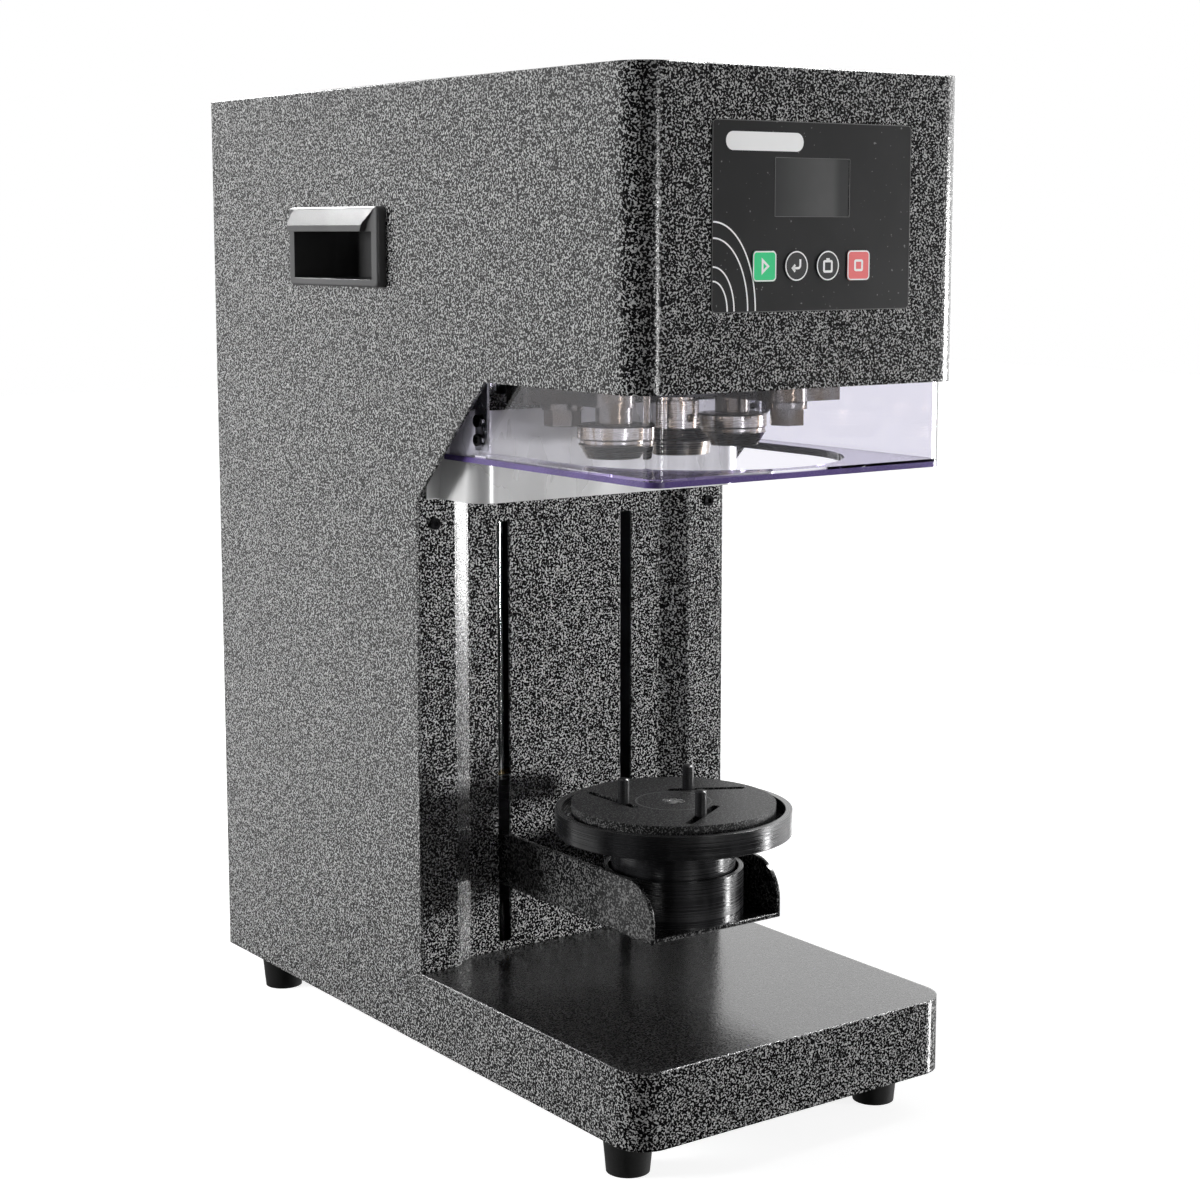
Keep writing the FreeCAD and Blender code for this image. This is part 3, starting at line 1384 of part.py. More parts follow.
def buildTray():
    """The folded tray whose walls run back through the slots, and its screws."""
    body = newBody("lift_tray")
    wide = d.slotSpacing / 2 + d.traySheet / 2
    low = base + d.trayLow
    walls = [
        (front + d.trayFront, low),
        (front + d.trayRear, low),
        (front + d.trayRear, low + d.trayHeight),
        (front + d.trayFront, low + d.trayHeight),
    ]
    pad(body, outline(body, "traySide", "YZ", -wide, walls), "YZ", 2 * wide)
    fillet(body, "trayCorners", d.trayCorner,
           lambda edge: runsAlong(edge, "X")
           and abs(edge.CenterOfMass.y - (front + d.trayFront).number) < 0.01
           and abs(edge.CenterOfMass.z - (low + d.trayHeight).number) < 0.01)
    gauge = d.traySheet
    middle = rectangle(front, low + gauge, d.bodyDepth, d.trayHeight)
    pocket(body, outline(body, "trayMiddle", "YZ", -wide + gauge, middle), "YZ", 2 * wide - 2 * gauge)
    behind = rectangle(front + d.trayFloorRear, low - 1, d.bodyDepth, d.trayHeight)
    pocket(body, outline(body, "trayBehind", "YZ", -wide + gauge, behind), "YZ", 2 * wide - 2 * gauge)
    places = trayScrewPlaces()
    pocket(body, circles(body, "trayHoles", "YZ", -half, places, d.screwRadius), "YZ", d.bodyWidth)
    screws = [screw(f"trayScrew{side + 1}{number}", side * wide, y, z, "X", side)
              for side in (-1, 1) for number, (y, z) in enumerate(places)]
    node("tray_screws", group("trayScrews", *screws))


def slotEnds(turn):
    """The near and the far end of a slot in the platen, turned about its axis."""
    ends = []
    for x, y in ((d.slotNearAcross, d.slotNearAlong), (d.slotFarAcross, d.slotFarAlong)):
        c, s = math.cos(math.radians(turn)), math.sin(math.radians(turn))
        ends.append((x * c - y * s, x * s + y * c))
    return ends


def stadium(name, ends, radius, z, height):
    """A slot-shaped tool between two points."""
    (x, y), (u, v) = ends
    long = math.hypot((u - x).number, (v - y).number)
    bar = block(name + "Bar", 0, 0, 0, long, 2 * radius, height)
    lean = math.atan2((v - y).number, (u - x).number)
    bar.Placement.Rotation = FreeCAD.Rotation(FreeCAD.Vector(0, 0, 1), math.degrees(lean))
    place(bar, x + radius * math.sin(lean), axis + y - radius * math.cos(lean), z)
    first = rod(name + "Near", x, axis + y, z, radius, height)
    last = rod(name + "Far", u, axis + v, z, radius, height)
    return fuse(name, bar, first, last)


def buildPlaten():
    """The can platen: a cup on the tray, a turning dish with its disc, and three gripping pins."""
    low = base + d.trayLow + d.traySheet
    tall = base + d.cupTop - low
    wall = d.cupRadiusOuter - d.cupLip
    postTop = base + d.hubLow + d.hubBearingHeight + 2 - low
    turned("platen_cup", [
        (0, 0),
        (d.cupRadiusOuter, 0),
        (d.cupRadiusOuter, tall),
        (wall, tall),
        (wall, d.cupFloor),
        (d.postRadius, d.cupFloor),
        (d.postRadius, postTop),
        (0, postTop),
    ], 0, axis, low)
    bearingLow = base + d.hubLow + 1
    ring = rod("platenRing", 0, axis, bearingLow, d.hubBore - d.runningClearance, d.hubBearingHeight)
    hole = rod("platenRingBore", 0, axis, bearingLow - 1, d.postRadius, d.hubBearingHeight + 2)
    node("platen_bearing", cut("platenBearing", ring, hole))

    start = base + d.hubLow
    dishLow = base + d.dishLow - start
    floor = dishLow + d.dishFloor
    rimTop = dishLow + d.dishHeight
    boss = base + d.discLow - start
    dish = turnedBlank("platenDish", [
        (d.hubBore, 0),
        (d.hubRadius, 0),
        (d.hubRadius, dishLow),
        (d.dishRadius, dishLow),
        (d.dishRadius, rimTop),
        (d.dishRadius - d.dishWall, rimTop),
        (d.dishRadius - d.dishWall, floor),
        (d.discRadius - 3, floor),
        (d.discRadius - 3, boss),
        (0, boss),
        (0, dishLow - 4),
        (d.hubBore, dishLow - 4),
    ], 0, axis, start)
    discLow = base + d.discLow
    discThick = d.discTop - d.discLow
    disc = rod("discBlank", 0, axis, discLow, d.discRadius, discThick)
    channels = []
    slots = []
    for number in range(3):
        ends = slotEnds(120 * number)
        channels.append(stadium(f"channel{number}", ends, d.pinNutRadius + 0.4, start + floor,
                                boss - floor + 1))
        slots.append(stadium(f"slot{number}", ends, d.pinSlotWidth / 2, discLow - 1, discThick + 2))
    shank = d.centreScrewRadius
    centreHeadLow = base + d.discTop - d.centreHeadHeight - 0.3
    shankLow = start + dishLow - 2
    channels.append(rod("dishScrewHole", 0, axis, shankLow, shank, boss))
    slots.append(rod("discScrewHole", 0, axis, discLow - 1, shank, discThick + 2))
    slots.append(rod("discHeadHole", 0, axis, centreHeadLow, d.centreHeadRadius, discThick))
    node("platen_dish", cut("platenDishCut", dish, *channels))
    node("platen_disc", cut("platenDisc", disc, *slots))
    centre = fuse(
        "centreBlank",
        rod("centreHead", 0, axis, centreHeadLow, d.centreHeadRadius, d.centreHeadHeight),
        rod("centreShank", 0, axis, shankLow, shank, centreHeadLow - shankLow),
    )
    socket = rod("centreSocket", 0, axis, centreHeadLow + d.centreHeadHeight / 2, d.centreHeadRadius / 2,
                 d.centreHeadHeight)
    node("platen_centre_screw", cut("centreScrew", centre, socket))

    for number, share in enumerate(pinShares):
        (x, y), (u, v) = slotEnds(120 * number)
        px = x + (u - x) * share
        py = axis + y + (v - y) * share
        stemLow = discLow - d.pinNutHeight - d.pinPlay
        knobLow = discLow + discThick + d.pinPlay
        knobTop = base + d.discTop + d.pinHeight
        node(f"platen_pin_{number + 1}", fuse(
            f"pin{number}",
            rod(f"pinKnob{number}", px, py, knobLow, d.pinRadius, knobTop - knobLow - 1),
            taper(f"pinTip{number}", px, py, knobTop - 1, d.pinRadius, d.pinRadius - 1, 1),
            rod(f"pinStem{number}", px, py, stemLow, d.pinStemRadius, knobLow - stemLow),
            rod(f"pinNut{number}", px, py, stemLow, d.pinNutRadius, d.pinNutHeight),
        ))


def buildElectrics():
    """The power supply, the mains inlet and the rocker switch in its housing."""
    y = front + d.frameRear
    low = base + d.supplyFoot
    wide = d.supplyWidth / 2
    strip = fuse(
        "supplyBlank",
        block("supplyCase", -wide, y, low, d.supplyWidth, d.supplyDepth, d.supplyHeight),
        block("supplyStrip", -wide + 6, y, low - 12, d.supplyWidth - 12, d.supplyDepth / 2, 12),
    )
    node("power_supply", strip)

    level = base + d.inletHeight
    wide = d.inletWidth / 2
    nose = 3.2
    cx = d.inletAcross
    mid = level + d.inletTall / 2
    blank = fuse(
        "inletBlank",
        block("inletCase", cx - wide, rear - d.inletDepth, level, d.inletWidth, d.inletDepth, d.inletTall),
        block("inletNose", cx - wide + nose, rear, level + nose, d.inletWidth - 2 * nose,
              d.coverThickness, d.inletTall - 2 * nose),
    )
    recessFront = rear + d.coverThickness - d.inletRecess
    recess = block("inletRecess", cx - d.inletRecessWidth / 2, recessFront, mid - d.inletRecessTall / 2,
                   d.inletRecessWidth, d.inletRecess + 1, d.inletRecessTall)
    hollow = cut("inletHollow", blank, recess)
    blades = [block(f"blade{number}", cx + across - 1, recessFront - 1, mid + up - 2, 2, 13, 4)
              for number, (across, up) in enumerate(((-7, -2), (0, 2), (7, -2)))]
    node("mains_inlet", fuse("mainsInlet", hollow, *blades))

    wide = d.switchWidth / 2
    cx = d.switchAcross
    mid = level + d.switchTall / 2
    body = block("switchBlank", cx - wide, rear - d.switchDepth, level, d.switchWidth, d.switchDepth,
                 d.switchTall)
    cavity = block("switchCavity", cx - wide + 2, rear - d.switchDepth + 5, level + 2,
                   d.switchWidth - 4, d.switchDepth, d.switchTall - 4)
    tilt = math.radians(dimensions["rockerTilt"])
    reach = d.rockerFace * math.cos(tilt) + d.rockerHalf * math.sin(tilt)
    pivot = rear + rearProud - reach
    holes = rod("switchPinHole", cx - wide - 1, pivot, mid, d.rockerPin + d.runningClearance,
                d.switchWidth + 2, "X")
    node("switch_housing", cut("switchHousing", body, cavity, holes))

    rocker = newBody("power_rocker")
    side = d.switchWidth / 2 - 2.5
    profile = [
        (d.rockerFace, -d.rockerHalf),
        (d.rockerFace - d.rockerDip, 0),
        (d.rockerFace, d.rockerHalf),
        (-2, d.rockerHalf - 2),
        (-4.5, 2.5),
        (-4.5, -2.5),
        (-2, -d.rockerHalf + 2),
    ]
    pad(rocker, outline(rocker, "rockerSide", "YZ", -side, profile), "YZ", 2 * side)
    pinSide = side + 1.5
    pin = circles(rocker, "rockerPin", "YZ", -pinSide, [(0, 0)], d.rockerPin)
    pad(rocker, pin, "YZ", 2 * pinSide)
    rocker.Placement.Rotation = FreeCAD.Rotation(FreeCAD.Vector(1, 0, 0), dimensions["rockerTilt"])
    place(rocker, cx, pivot, mid)


buildShell()
buildCovers()
buildFeet()
buildColumnPanel()
buildSplashPlate()
buildGuard()
buildPanel()
buildHandles()
buildFrame()
buildSpindle()
buildSpindleDrive()
buildCam()
buildArms()
buildLift()
buildTray()
buildPlaten()
buildElectrics()

doc.recompute()
for piece in doc.Objects:
    broken = [state for state in piece.State if state in ("Invalid", "Error")]
    if broken:
        print("fault", piece.Name, broken)
    if not broken and piece.isDerivedFrom("PartDesign::Pocket") and piece.BaseFeature:
        if piece.Shape.Volume > piece.BaseFeature.Shape.Volume - 0.1:
            print("cuts nothing", piece.Name)
os.makedirs("parts", exist_ok=True)
for piece in nodes:
    shape = piece.Shape
    if shape.isNull() or not shape.isValid() or not shape.Solids:
        print("bad shape", piece.Label)
        continue
    shape.exportStep(f"parts/{piece.Label}.step")
print(len(nodes), "pieces")
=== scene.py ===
import math

import bpy
import numpy as np
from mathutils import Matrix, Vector


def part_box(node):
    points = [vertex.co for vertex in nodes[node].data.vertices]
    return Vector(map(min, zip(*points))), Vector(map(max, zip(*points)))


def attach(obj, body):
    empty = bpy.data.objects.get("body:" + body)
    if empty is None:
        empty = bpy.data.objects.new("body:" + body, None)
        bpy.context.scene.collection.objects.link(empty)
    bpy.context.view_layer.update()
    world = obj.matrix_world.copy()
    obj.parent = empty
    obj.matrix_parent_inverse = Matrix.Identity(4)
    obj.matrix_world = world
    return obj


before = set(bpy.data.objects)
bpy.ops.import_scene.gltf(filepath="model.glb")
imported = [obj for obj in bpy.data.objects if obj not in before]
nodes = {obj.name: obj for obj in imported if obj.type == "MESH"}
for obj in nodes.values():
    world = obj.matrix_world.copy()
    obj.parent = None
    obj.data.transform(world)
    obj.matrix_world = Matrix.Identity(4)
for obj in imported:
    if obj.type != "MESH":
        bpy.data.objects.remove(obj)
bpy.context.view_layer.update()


# shader trees

def plug(tree, value, socket):
    # a socket is linked, a plain value is set
    if isinstance(value, bpy.types.NodeSocket):
        tree.links.new(value, socket)
    else:
        socket.default_value = value


def addNode(tree, kind, inputs=None, **settings):
    node = tree.nodes.new(kind)
    for name, value in settings.items():
        setattr(node, name, value)
    for name, value in (inputs or {}).items():
        plug(tree, value, node.inputs[name])
    return node


def maths(tree, operation, first, second=0.0):
    return addNode(tree, "ShaderNodeMath", {0: first, 1: second}, operation=operation).outputs[0]


def spread(tree, value, low, high, newLow=0.0, newHigh=1.0):
    # a value between low and high becomes, smoothly, one between newLow and newHigh
    inputs = {"Value": value, "From Min": low, "From Max": high, "To Min": newLow, "To Max": newHigh}
    return addNode(tree, "ShaderNodeMapRange", inputs, interpolation_type="SMOOTHSTEP").outputs["Result"]


def mixColour(tree, share, first, second):
    node = addNode(tree, "ShaderNodeMix", {"Factor": share}, data_type="RGBA")
    for socket, value in ((node.inputs[6], first), (node.inputs[7], second)):
        plug(tree, value if isinstance(value, bpy.types.NodeSocket) else (*value, 1.0), socket)
    return node.outputs[2]


def noise(tree, vector, scale, detail, **more):
    inputs = {"Vector": vector, "Scale": scale, "Detail": detail}
    inputs.update({name.capitalize(): value for name, value in more.items()})
    return addNode(tree, "ShaderNodeTexNoise", inputs).outputs["Fac"]


def separate(tree, vector):
    return addNode(tree, "ShaderNodeSeparateXYZ", {"Vector": vector}).outputs


def combine(tree, x, y, z=0.0):
    return addNode(tree, "ShaderNodeCombineXYZ", {"X": x, "Y": y, "Z": z}).outputs[0]


def size(tree, vector):
    return addNode(tree, "ShaderNodeVectorMath", {0: vector}, operation="LENGTH").outputs["Value"]


def newGroup(name, inputs, results):
    # every group reads a place and some values of its own, and gives back plain numbers
    tree = bpy.data.node_groups.new(name, "ShaderNodeTree")
    tree.interface.new_socket("Vector", in_out="INPUT", socket_type="NodeSocketVector")
    for label, value in inputs.items():
        kind = "NodeSocketVector" if isinstance(value, tuple) else "NodeSocketFloat"
        tree.interface.new_socket(label, in_out="INPUT", socket_type=kind).default_value = value
    for label in results:
        tree.interface.new_socket(label, in_out="OUTPUT", socket_type="NodeSocketFloat")
    return tree, tree.nodes.new("NodeGroupInput").outputs, tree.nodes.new("NodeGroupOutput").inputs


def hammerGroup():
    # pale worms where a soft noise rises over its middle, thinned and thickened by a coarser noise
    tree, given, out = newGroup("hammer veins", {"Scale": 600.0, "Start": 0.46, "Full": 0.6},
                                ("Veins", "Height"))
    worms = noise(tree, given["Vector"], given["Scale"], 1.0, roughness=0.45, distortion=0.5)
    patches = noise(tree, given["Vector"], maths(tree, "MULTIPLY", given["Scale"], 0.3), 1.0)
    offset = maths(tree, "MULTIPLY", maths(tree, "SUBTRACT", patches, 0.5), 0.16)
    raised = maths(tree, "ADD", worms, offset)
    plug(tree, spread(tree, raised, given["Start"], given["Full"]), out["Veins"])
    plug(tree, worms, out["Height"])
    return tree


def grainGroup():
    # fine grain of moulded plastic or fine powder coat, with slow clouds over it
    tree, given, out = newGroup("fine grain", {"Scale": 1500.0}, ("Clouds", "Height"))
    plug(tree, noise(tree, given["Vector"], 28.0, 3.0), out["Clouds"])
    plug(tree, noise(tree, given["Vector"], given["Scale"], 2.0, roughness=0.6), out["Height"])
    return tree


def turnedGroup():
    # tool marks of a lathe: bands that depend only on the radius and the height; and streaks round the axis,
    # used to paint reflections into the colour
    tree, given, out = newGroup("turned marks", {"Pitch": 2500.0}, ("Bands", "Streaks", "Radius"))
    parts = separate(tree, given["Vector"])
    radius = size(tree, combine(tree, parts["X"], parts["Y"]))
    bands = addNode(tree, "ShaderNodeTexNoise", {"Vector": combine(tree, radius, parts["Z"]),
                    "Scale": given["Pitch"], "Detail": 2.0}, noise_dimensions="2D").outputs["Fac"]
    around = maths(tree, "ARCTAN2", parts["Y"], parts["X"])
    ring = combine(tree, maths(tree, "COSINE", around), maths(tree, "SINE", around),
                   maths(tree, "MULTIPLY", parts["Z"], 6.0))
    plug(tree, bands, out["Bands"])
    plug(tree, noise(tree, ring, 5.0, 3.0), out["Streaks"])
    plug(tree, radius, out["Radius"])
    return tree


def brushedGroup():
    # long scratches along one direction, with faint stains
    tree, given, out = newGroup("brushed marks", {"Stretch": (8.0, 8.0, 900.0)}, ("Scratches", "Stains"))
    pulled = addNode(tree, "ShaderNodeVectorMath", {0: given["Vector"], 1: given["Stretch"]},
                     operation="MULTIPLY").outputs[0]
    plug(tree, noise(tree, pulled, 1.0, 3.0), out["Scratches"])
    plug(tree, noise(tree, given["Vector"], 35.0, 4.0), out["Stains"])
    return tree


effects = {"hammer": hammerGroup(), "grain": grainGroup(), "turned": turnedGroup(), "brushed": brushedGroup()}


def newMaterial(name):
    material = bpy.data.materials.new(name)
    material.use_nodes = True
    tree = material.node_tree
    place = tree.nodes.new("ShaderNodeTexCoord").outputs["Object"]
    return material, tree, tree.nodes["Principled BSDF"], place


def useGroup(tree, effect, vector, **values):
    node = tree.nodes.new("ShaderNodeGroup")
    node.node_tree = effects[effect]
    plug(tree, vector, node.inputs["Vector"])
    for name, value in values.items():
        plug(tree, value, node.inputs[name.capitalize()])
    return node.outputs


def emboss(tree, shader, height, depth, edge=0.0):
    # bump of a depth in metres, over edges rounded by a radius in metres
    inputs = {"Height": height, "Strength": 1.0, "Distance": depth}
    if edge:
        inputs["Normal"] = addNode(tree, "ShaderNodeBevel", {"Radius": edge}, samples=3).outputs[0]
    bump = addNode(tree, "ShaderNodeBump", inputs).outputs[0]
    plug(tree, bump, shader.inputs["Normal"])
    plug(tree, bump, shader.inputs["Coat Normal"])


def settle(shader, **values):
    for name, value in values.items():
        shader.inputs[name.replace("_", " ")].default_value = value


def moved(tree, place, centre):
    location = (-centre.x, -centre.y, 0.0)
    return addNode(tree, "ShaderNodeMapping", {"Vector": place, "Location": location}).outputs[0]


def dress(material, *names):
    for name in names:
        slots = nodes[name].data.materials
        slots.clear()
        slots.append(material)


def middle(name):
    low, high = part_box(name)
    return (low + high) / 2


print("enamel")
enamel = {"veinScale": 850.0, "start": 0.53, "full": 0.585,
          "dark": (0.003, 0.003, 0.0035),
          # painted shade and light: the tray and the column wear darker and paler copies of the body's enamel
          "bodyPale": 0.46, "trayShadedPale": 0.15, "columnLitPale": 0.6,
          "levelShadeShare": 0.2,  # painted shade: the veins fade on level faces, so faces turned up come out darker
          "roughness": 0.35, "specular": 0.06, "coatRoughness": 0.05,
          "dimples": 0.0001, "edge": 0.0014}


def paintEnamel(name, pale):
    material, tree, shader, place = newMaterial(name)
    marks = useGroup(tree, "hammer", place, scale=enamel["veinScale"], start=enamel["start"],
                     full=enamel["full"])
    facing = separate(tree, tree.nodes.new("ShaderNodeNewGeometry").outputs["True Normal"])["Z"]
    # painted shade: faces turned up lose most of their pale veins and come out darker, where little light
    # falls
    levelShade = spread(tree, facing, 0.5, 0.9, 1.0, enamel["levelShadeShare"])
    shown = maths(tree, "MULTIPLY", marks["Veins"], levelShade)
    plug(tree, mixColour(tree, shown, enamel["dark"], (pale, pale, pale)), shader.inputs["Base Color"])
    settle(shader, Roughness=enamel["roughness"], Specular_IOR_Level=enamel["specular"], Coat_Weight=1.0,
           Coat_Roughness=enamel["coatRoughness"])
    emboss(tree, shader, marks["Height"], enamel["dimples"], enamel["edge"])
    return material


dress(paintEnamel("hammertone enamel", enamel["bodyPale"]), "housing_shell", "rear_cover")
# painted shade: the tray wears a darker copy of the hammertone enamel for the shade it sits in
dress(paintEnamel("tray enamel painted shade", enamel["trayShadedPale"]), "lift_tray")
# painted light: the column panel wears a paler copy of the same enamel for the light that falls on it
dress(paintEnamel("column enamel painted light", enamel["columnLitPale"]), "column_front_panel")

print("plastics")
plastics = {
    "foot rubber": {"base": (0.012, 0.012, 0.012), "roughness": 0.62, "grain": 900.0, "depth": 0.00004},
    "handle plastic": {"base": (0.06, 0.06, 0.061), "roughness": 0.42, "grain": 1400.0, "depth": 0.00003,
                       "coat": 0.3},
    "board lacquer": {"base": (0.02, 0.13, 0.05), "roughness": 0.35},
    "inlet plastic": {"base": (0.015, 0.015, 0.015), "roughness": 0.42},
    "rocker plastic": {"base": (0.45, 0.01, 0.012), "roughness": 0.3},
    "motor enamel": {"base": (0.02, 0.02, 0.022), "roughness": 0.4},
    "blackened steel": {"base": (0.012, 0.012, 0.013), "roughness": 0.3, "grain": 2500.0, "depth": 0.00001}}


def plastic(name, base, roughness, grain=1600.0, depth=0.00002, edge=0.0004, clouds=0.25, coat=0.0):
    material, tree, shader, place = newMaterial(name)
    marks = useGroup(tree, "grain", place, scale=grain)
    paler = tuple(min(1.0, c * (1 + clouds) + 0.004) for c in base)
    plug(tree, mixColour(tree, spread(tree, marks["Clouds"], 0.35, 0.65), base, paler),
         shader.inputs["Base Color"])
    plug(tree, spread(tree, marks["Height"], 0.3, 0.7, roughness - 0.06, roughness + 0.08),
         shader.inputs["Roughness"])
    settle(shader, Coat_Weight=coat, Coat_Roughness=0.1)
    emboss(tree, shader, marks["Height"], depth, edge)
    return material


def mould(name, *wearers):
    dress(plastic(name, **plastics[name]), *wearers)


mould("foot rubber", "rubber_feet")
mould("handle plastic", "pull_handle_left", "pull_handle_right")
mould("board lacquer", "control_board")
mould("inlet plastic", "mains_inlet", "switch_housing")
mould("rocker plastic", "power_rocker")
mould("motor enamel", "spindle_motor", "cam_motor", "lift_motor", "spindle_housing")
mould("blackened steel", "platen_pin_1", "platen_pin_2", "platen_pin_3")

print("keys")
keyLook = {"start_key": (0.015, 0.62, 0.23), "enter_key": (0.007, 0.007, 0.008),
           "menu_key": (0.007, 0.007, 0.008), "stop_key": (0.85, 0.16, 0.165)}
for name, tint in keyLook.items():
    dress(plastic(name.replace("_", " ") + " cap", tint, 0.42, 2200.0, 0.00001, clouds=0.1), name)

print("brushed metals")
metals = {
    "zinc plated": {"base": (0.6, 0.61, 0.63), "roughness": 0.3, "stretch": (300.0, 300.0, 300.0)},
    "black screw steel": {"base": (0.03, 0.03, 0.032), "roughness": 0.3, "stretch": (300.0, 300.0, 300.0)},
    "rolled plate": {"base": (0.34, 0.35, 0.37), "roughness": 0.4, "stretch": (12.0, 700.0, 700.0)},
    "splash plate steel": {"base": (0.9, 0.9, 0.9), "roughness": 0.3, "stretch": (30.0, 30.0, 12.0),
                           "stain": 0.04, "metallic": 0.4},
    "ground rod": {"base": (0.8, 0.8, 0.82), "roughness": 0.14, "stretch": (900.0, 900.0, 30.0),
                   "stain": 0.05},
    "milled aluminium": {"base": (0.72, 0.72, 0.74), "roughness": 0.32, "stretch": (30.0, 600.0, 600.0)},
    "plain brass": {"base": (0.72, 0.52, 0.22), "roughness": 0.28, "stretch": (500.0, 500.0, 60.0)},
    "gear steel": {"base": (0.42, 0.42, 0.43), "roughness": 0.3, "stretch": (400.0, 400.0, 60.0)},
    "centre screw steel": {"base": (0.7, 0.7, 0.7), "roughness": 0.25, "stretch": (300.0, 300.0, 300.0)}}


def brushedMetal(name, base, roughness, stretch, stain=0.25, metallic=1.0):
    material, tree, shader, place = newMaterial(name)
    marks = useGroup(tree, "brushed", place, stretch=stretch)
    darker = tuple(c * (1 - stain) for c in base)
    plug(tree, mixColour(tree, spread(tree, marks["Stains"], 0.35, 0.7), base, darker),
         shader.inputs["Base Color"])
    plug(tree, spread(tree, marks["Scratches"], 0.3, 0.7, roughness - 0.07, roughness + 0.1),
         shader.inputs["Roughness"])
    settle(shader, Metallic=metallic)
    emboss(tree, shader, marks["Scratches"], 0.000012, 0.0003)
    return material


def brush(name, *wearers):
    dress(brushedMetal(name, **metals[name]), *wearers)


brush("zinc plated", "tray_screws", "bridge_pillars", "guard_brackets")
brush("black screw steel", "cover_screws", "guard_screws")
brush("rolled plate", "base_bottom_plate", "frame_column", "head_plate", "motor_bridge")
brush("splash plate steel", "splash_plate")
brush("ground rod", "guide_rods", "lift_screw", "spindle_bearings", "platen_bearing")
brush("milled aluminium", "lift_foot_block", "lift_carriage", "power_supply")
brush("plain brass", "guide_bushes", "lift_nut")
brush("gear steel", "spindle_gear", "spindle_pinion", "cam_ring", "cam_pinion")
brush("centre screw steel", "platen_centre_screw")

print("turned tools")
# painted reflection: reflectedTint is a warm brown laid in vertical streaks for the warm surfaces the tools
# mirror
toolSteel = {"base": (0.50, 0.49, 0.46), "reflectedTint": (0.34, 0.28, 0.21), "roughness": 0.2,
             "armShade": 0.4}  # arms, bolts and washers are this much darker


def turnedMetal(name, centre, base, reflectedTint, roughness, metallic=1.0, pitch=2500.0, depth=0.000012, gloss=0.7):
    material, tree, shader, place = newMaterial(name)
    marks = useGroup(tree, "turned", moved(tree, place, centre), pitch=pitch)
    # painted reflection: vertical streaks of the second tint in the base colour stand in for mirrored
    # surroundings
    plug(tree, mixColour(tree, spread(tree, marks["Streaks"], 0.38, 0.62), base, reflectedTint),
         shader.inputs["Base Color"])
    plug(tree, spread(tree, marks["Bands"], 0.3, 0.7, roughness - 0.08, roughness + 0.1),
         shader.inputs["Roughness"])
    settle(shader, Metallic=metallic, Specular_IOR_Level=gloss)
    emboss(tree, shader, marks["Bands"], depth, 0.0006)
    return material


def turnTools(shade, *names):
    tints = [tuple(c * shade for c in toolSteel[key]) for key in ("base", "reflectedTint")]
    for name in names:
        steel = turnedMetal(name.replace("_", " ") + " steel", middle(name), *tints, toolSteel["roughness"])
        dress(steel, name)


turnTools(1.0, "spindle_shaft", "seaming_chuck", "first_seaming_roller", "second_seaming_roller")
turnTools(toolSteel["armShade"], "first_roller_arm", "second_roller_arm", "arm_pivot_bolts", "pivot_washers")

print("platen")
# painted highlight: edge is the paler tint laid in vertical streaks on the dish and cup
platen = {"dark": (0.008, 0.008, 0.009), "edge": (0.028, 0.028, 0.03), "roughness": 0.24, "metallic": 0.3,
          "coat": (0.006, 0.006, 0.0065), "speckle": (0.2, 0.2, 0.2), "grain": 1000.0, "coatRoughness": 0.5,
          "scribe": (0.3, 0.3, 0.3), "scribeShare": 0.6, "scribeRadius": 0.0228, "scribeWidth": 0.00035}


def discCoat():
    # fine textured coat with one scribed circle
    material, tree, shader, place = newMaterial("disc coat")
    marks = useGroup(tree, "grain", place, scale=platen["grain"])
    radius = useGroup(tree, "turned", moved(tree, place, middle("platen_disc")))["Radius"]
    away = maths(tree, "ABSOLUTE", maths(tree, "SUBTRACT", radius, platen["scribeRadius"]))
    line = spread(tree, away, platen["scribeWidth"], platen["scribeWidth"] * 2, 1.0, 0.0)
    base = mixColour(tree, spread(tree, marks["Height"], 0.5, 0.66), platen["coat"], platen["speckle"])
    scribed = mixColour(tree, maths(tree, "MULTIPLY", line, platen["scribeShare"]), base, platen["scribe"])
    plug(tree, scribed, shader.inputs["Base Color"])
    settle(shader, Roughness=platen["coatRoughness"], Specular_IOR_Level=0.3)
    emboss(tree, shader, marks["Height"], 0.0001, 0.0006)
    return material


# painted highlight: the dish and cup take vertical streaks of the edge tint in their colour
dress(turnedMetal("dish anodised", middle("platen_disc"), platen["dark"], platen["edge"], platen["roughness"],
                  platen["metallic"], 1800.0, 0.000003, 1.0), "platen_dish", "platen_cup")
dress(discCoat(), "platen_disc")

print("guard")
guard = {"clear": (0.87, 0.86, 0.92), "edge": (0.09, 0.06, 0.2), "roughness": 0.02, "index": 1.45,
         "edgeHeight": 0.0026, "rimHeight": 0.0032, "rimProud": 0.00012, "corner": 0.009}


def clearGuard():
    # the lower edge gathers light and shows violet, the walls stay clear
    material, tree, shader, place = newMaterial("clear guard")
    low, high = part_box("clear_guard")
    height = separate(tree, place)["Z"]
    tinted = spread(tree, height, low.z + guard["edgeHeight"] * 0.8, low.z + guard["edgeHeight"] * 1.2,
                    1.0, 0.0)
    plug(tree, mixColour(tree, tinted, guard["clear"], guard["edge"]), shader.inputs["Base Color"])
    settle(shader, Roughness=guard["roughness"], Transmission_Weight=1.0, IOR=guard["index"])
    return material


dress(clearGuard(), "clear_guard")

print("film and display")
film = {"base": (0.004, 0.004, 0.0045), "clouds": (0.008, 0.008, 0.0085), "grain": 2600.0,
        "dust": (0.3, 0.3, 0.3), "dustScale": 420.0, "dustShare": 0.5, "roughness": 0.45, "specular": 0.2}
display = {"dim": (0.035, 0.036, 0.037), "bright": (0.14, 0.14, 0.14), "roughness": 0.22, "coat": 0.6,
           "rise": (0.0, 0.042), "fall": (0.046, 0.053)}  # metres from its left end


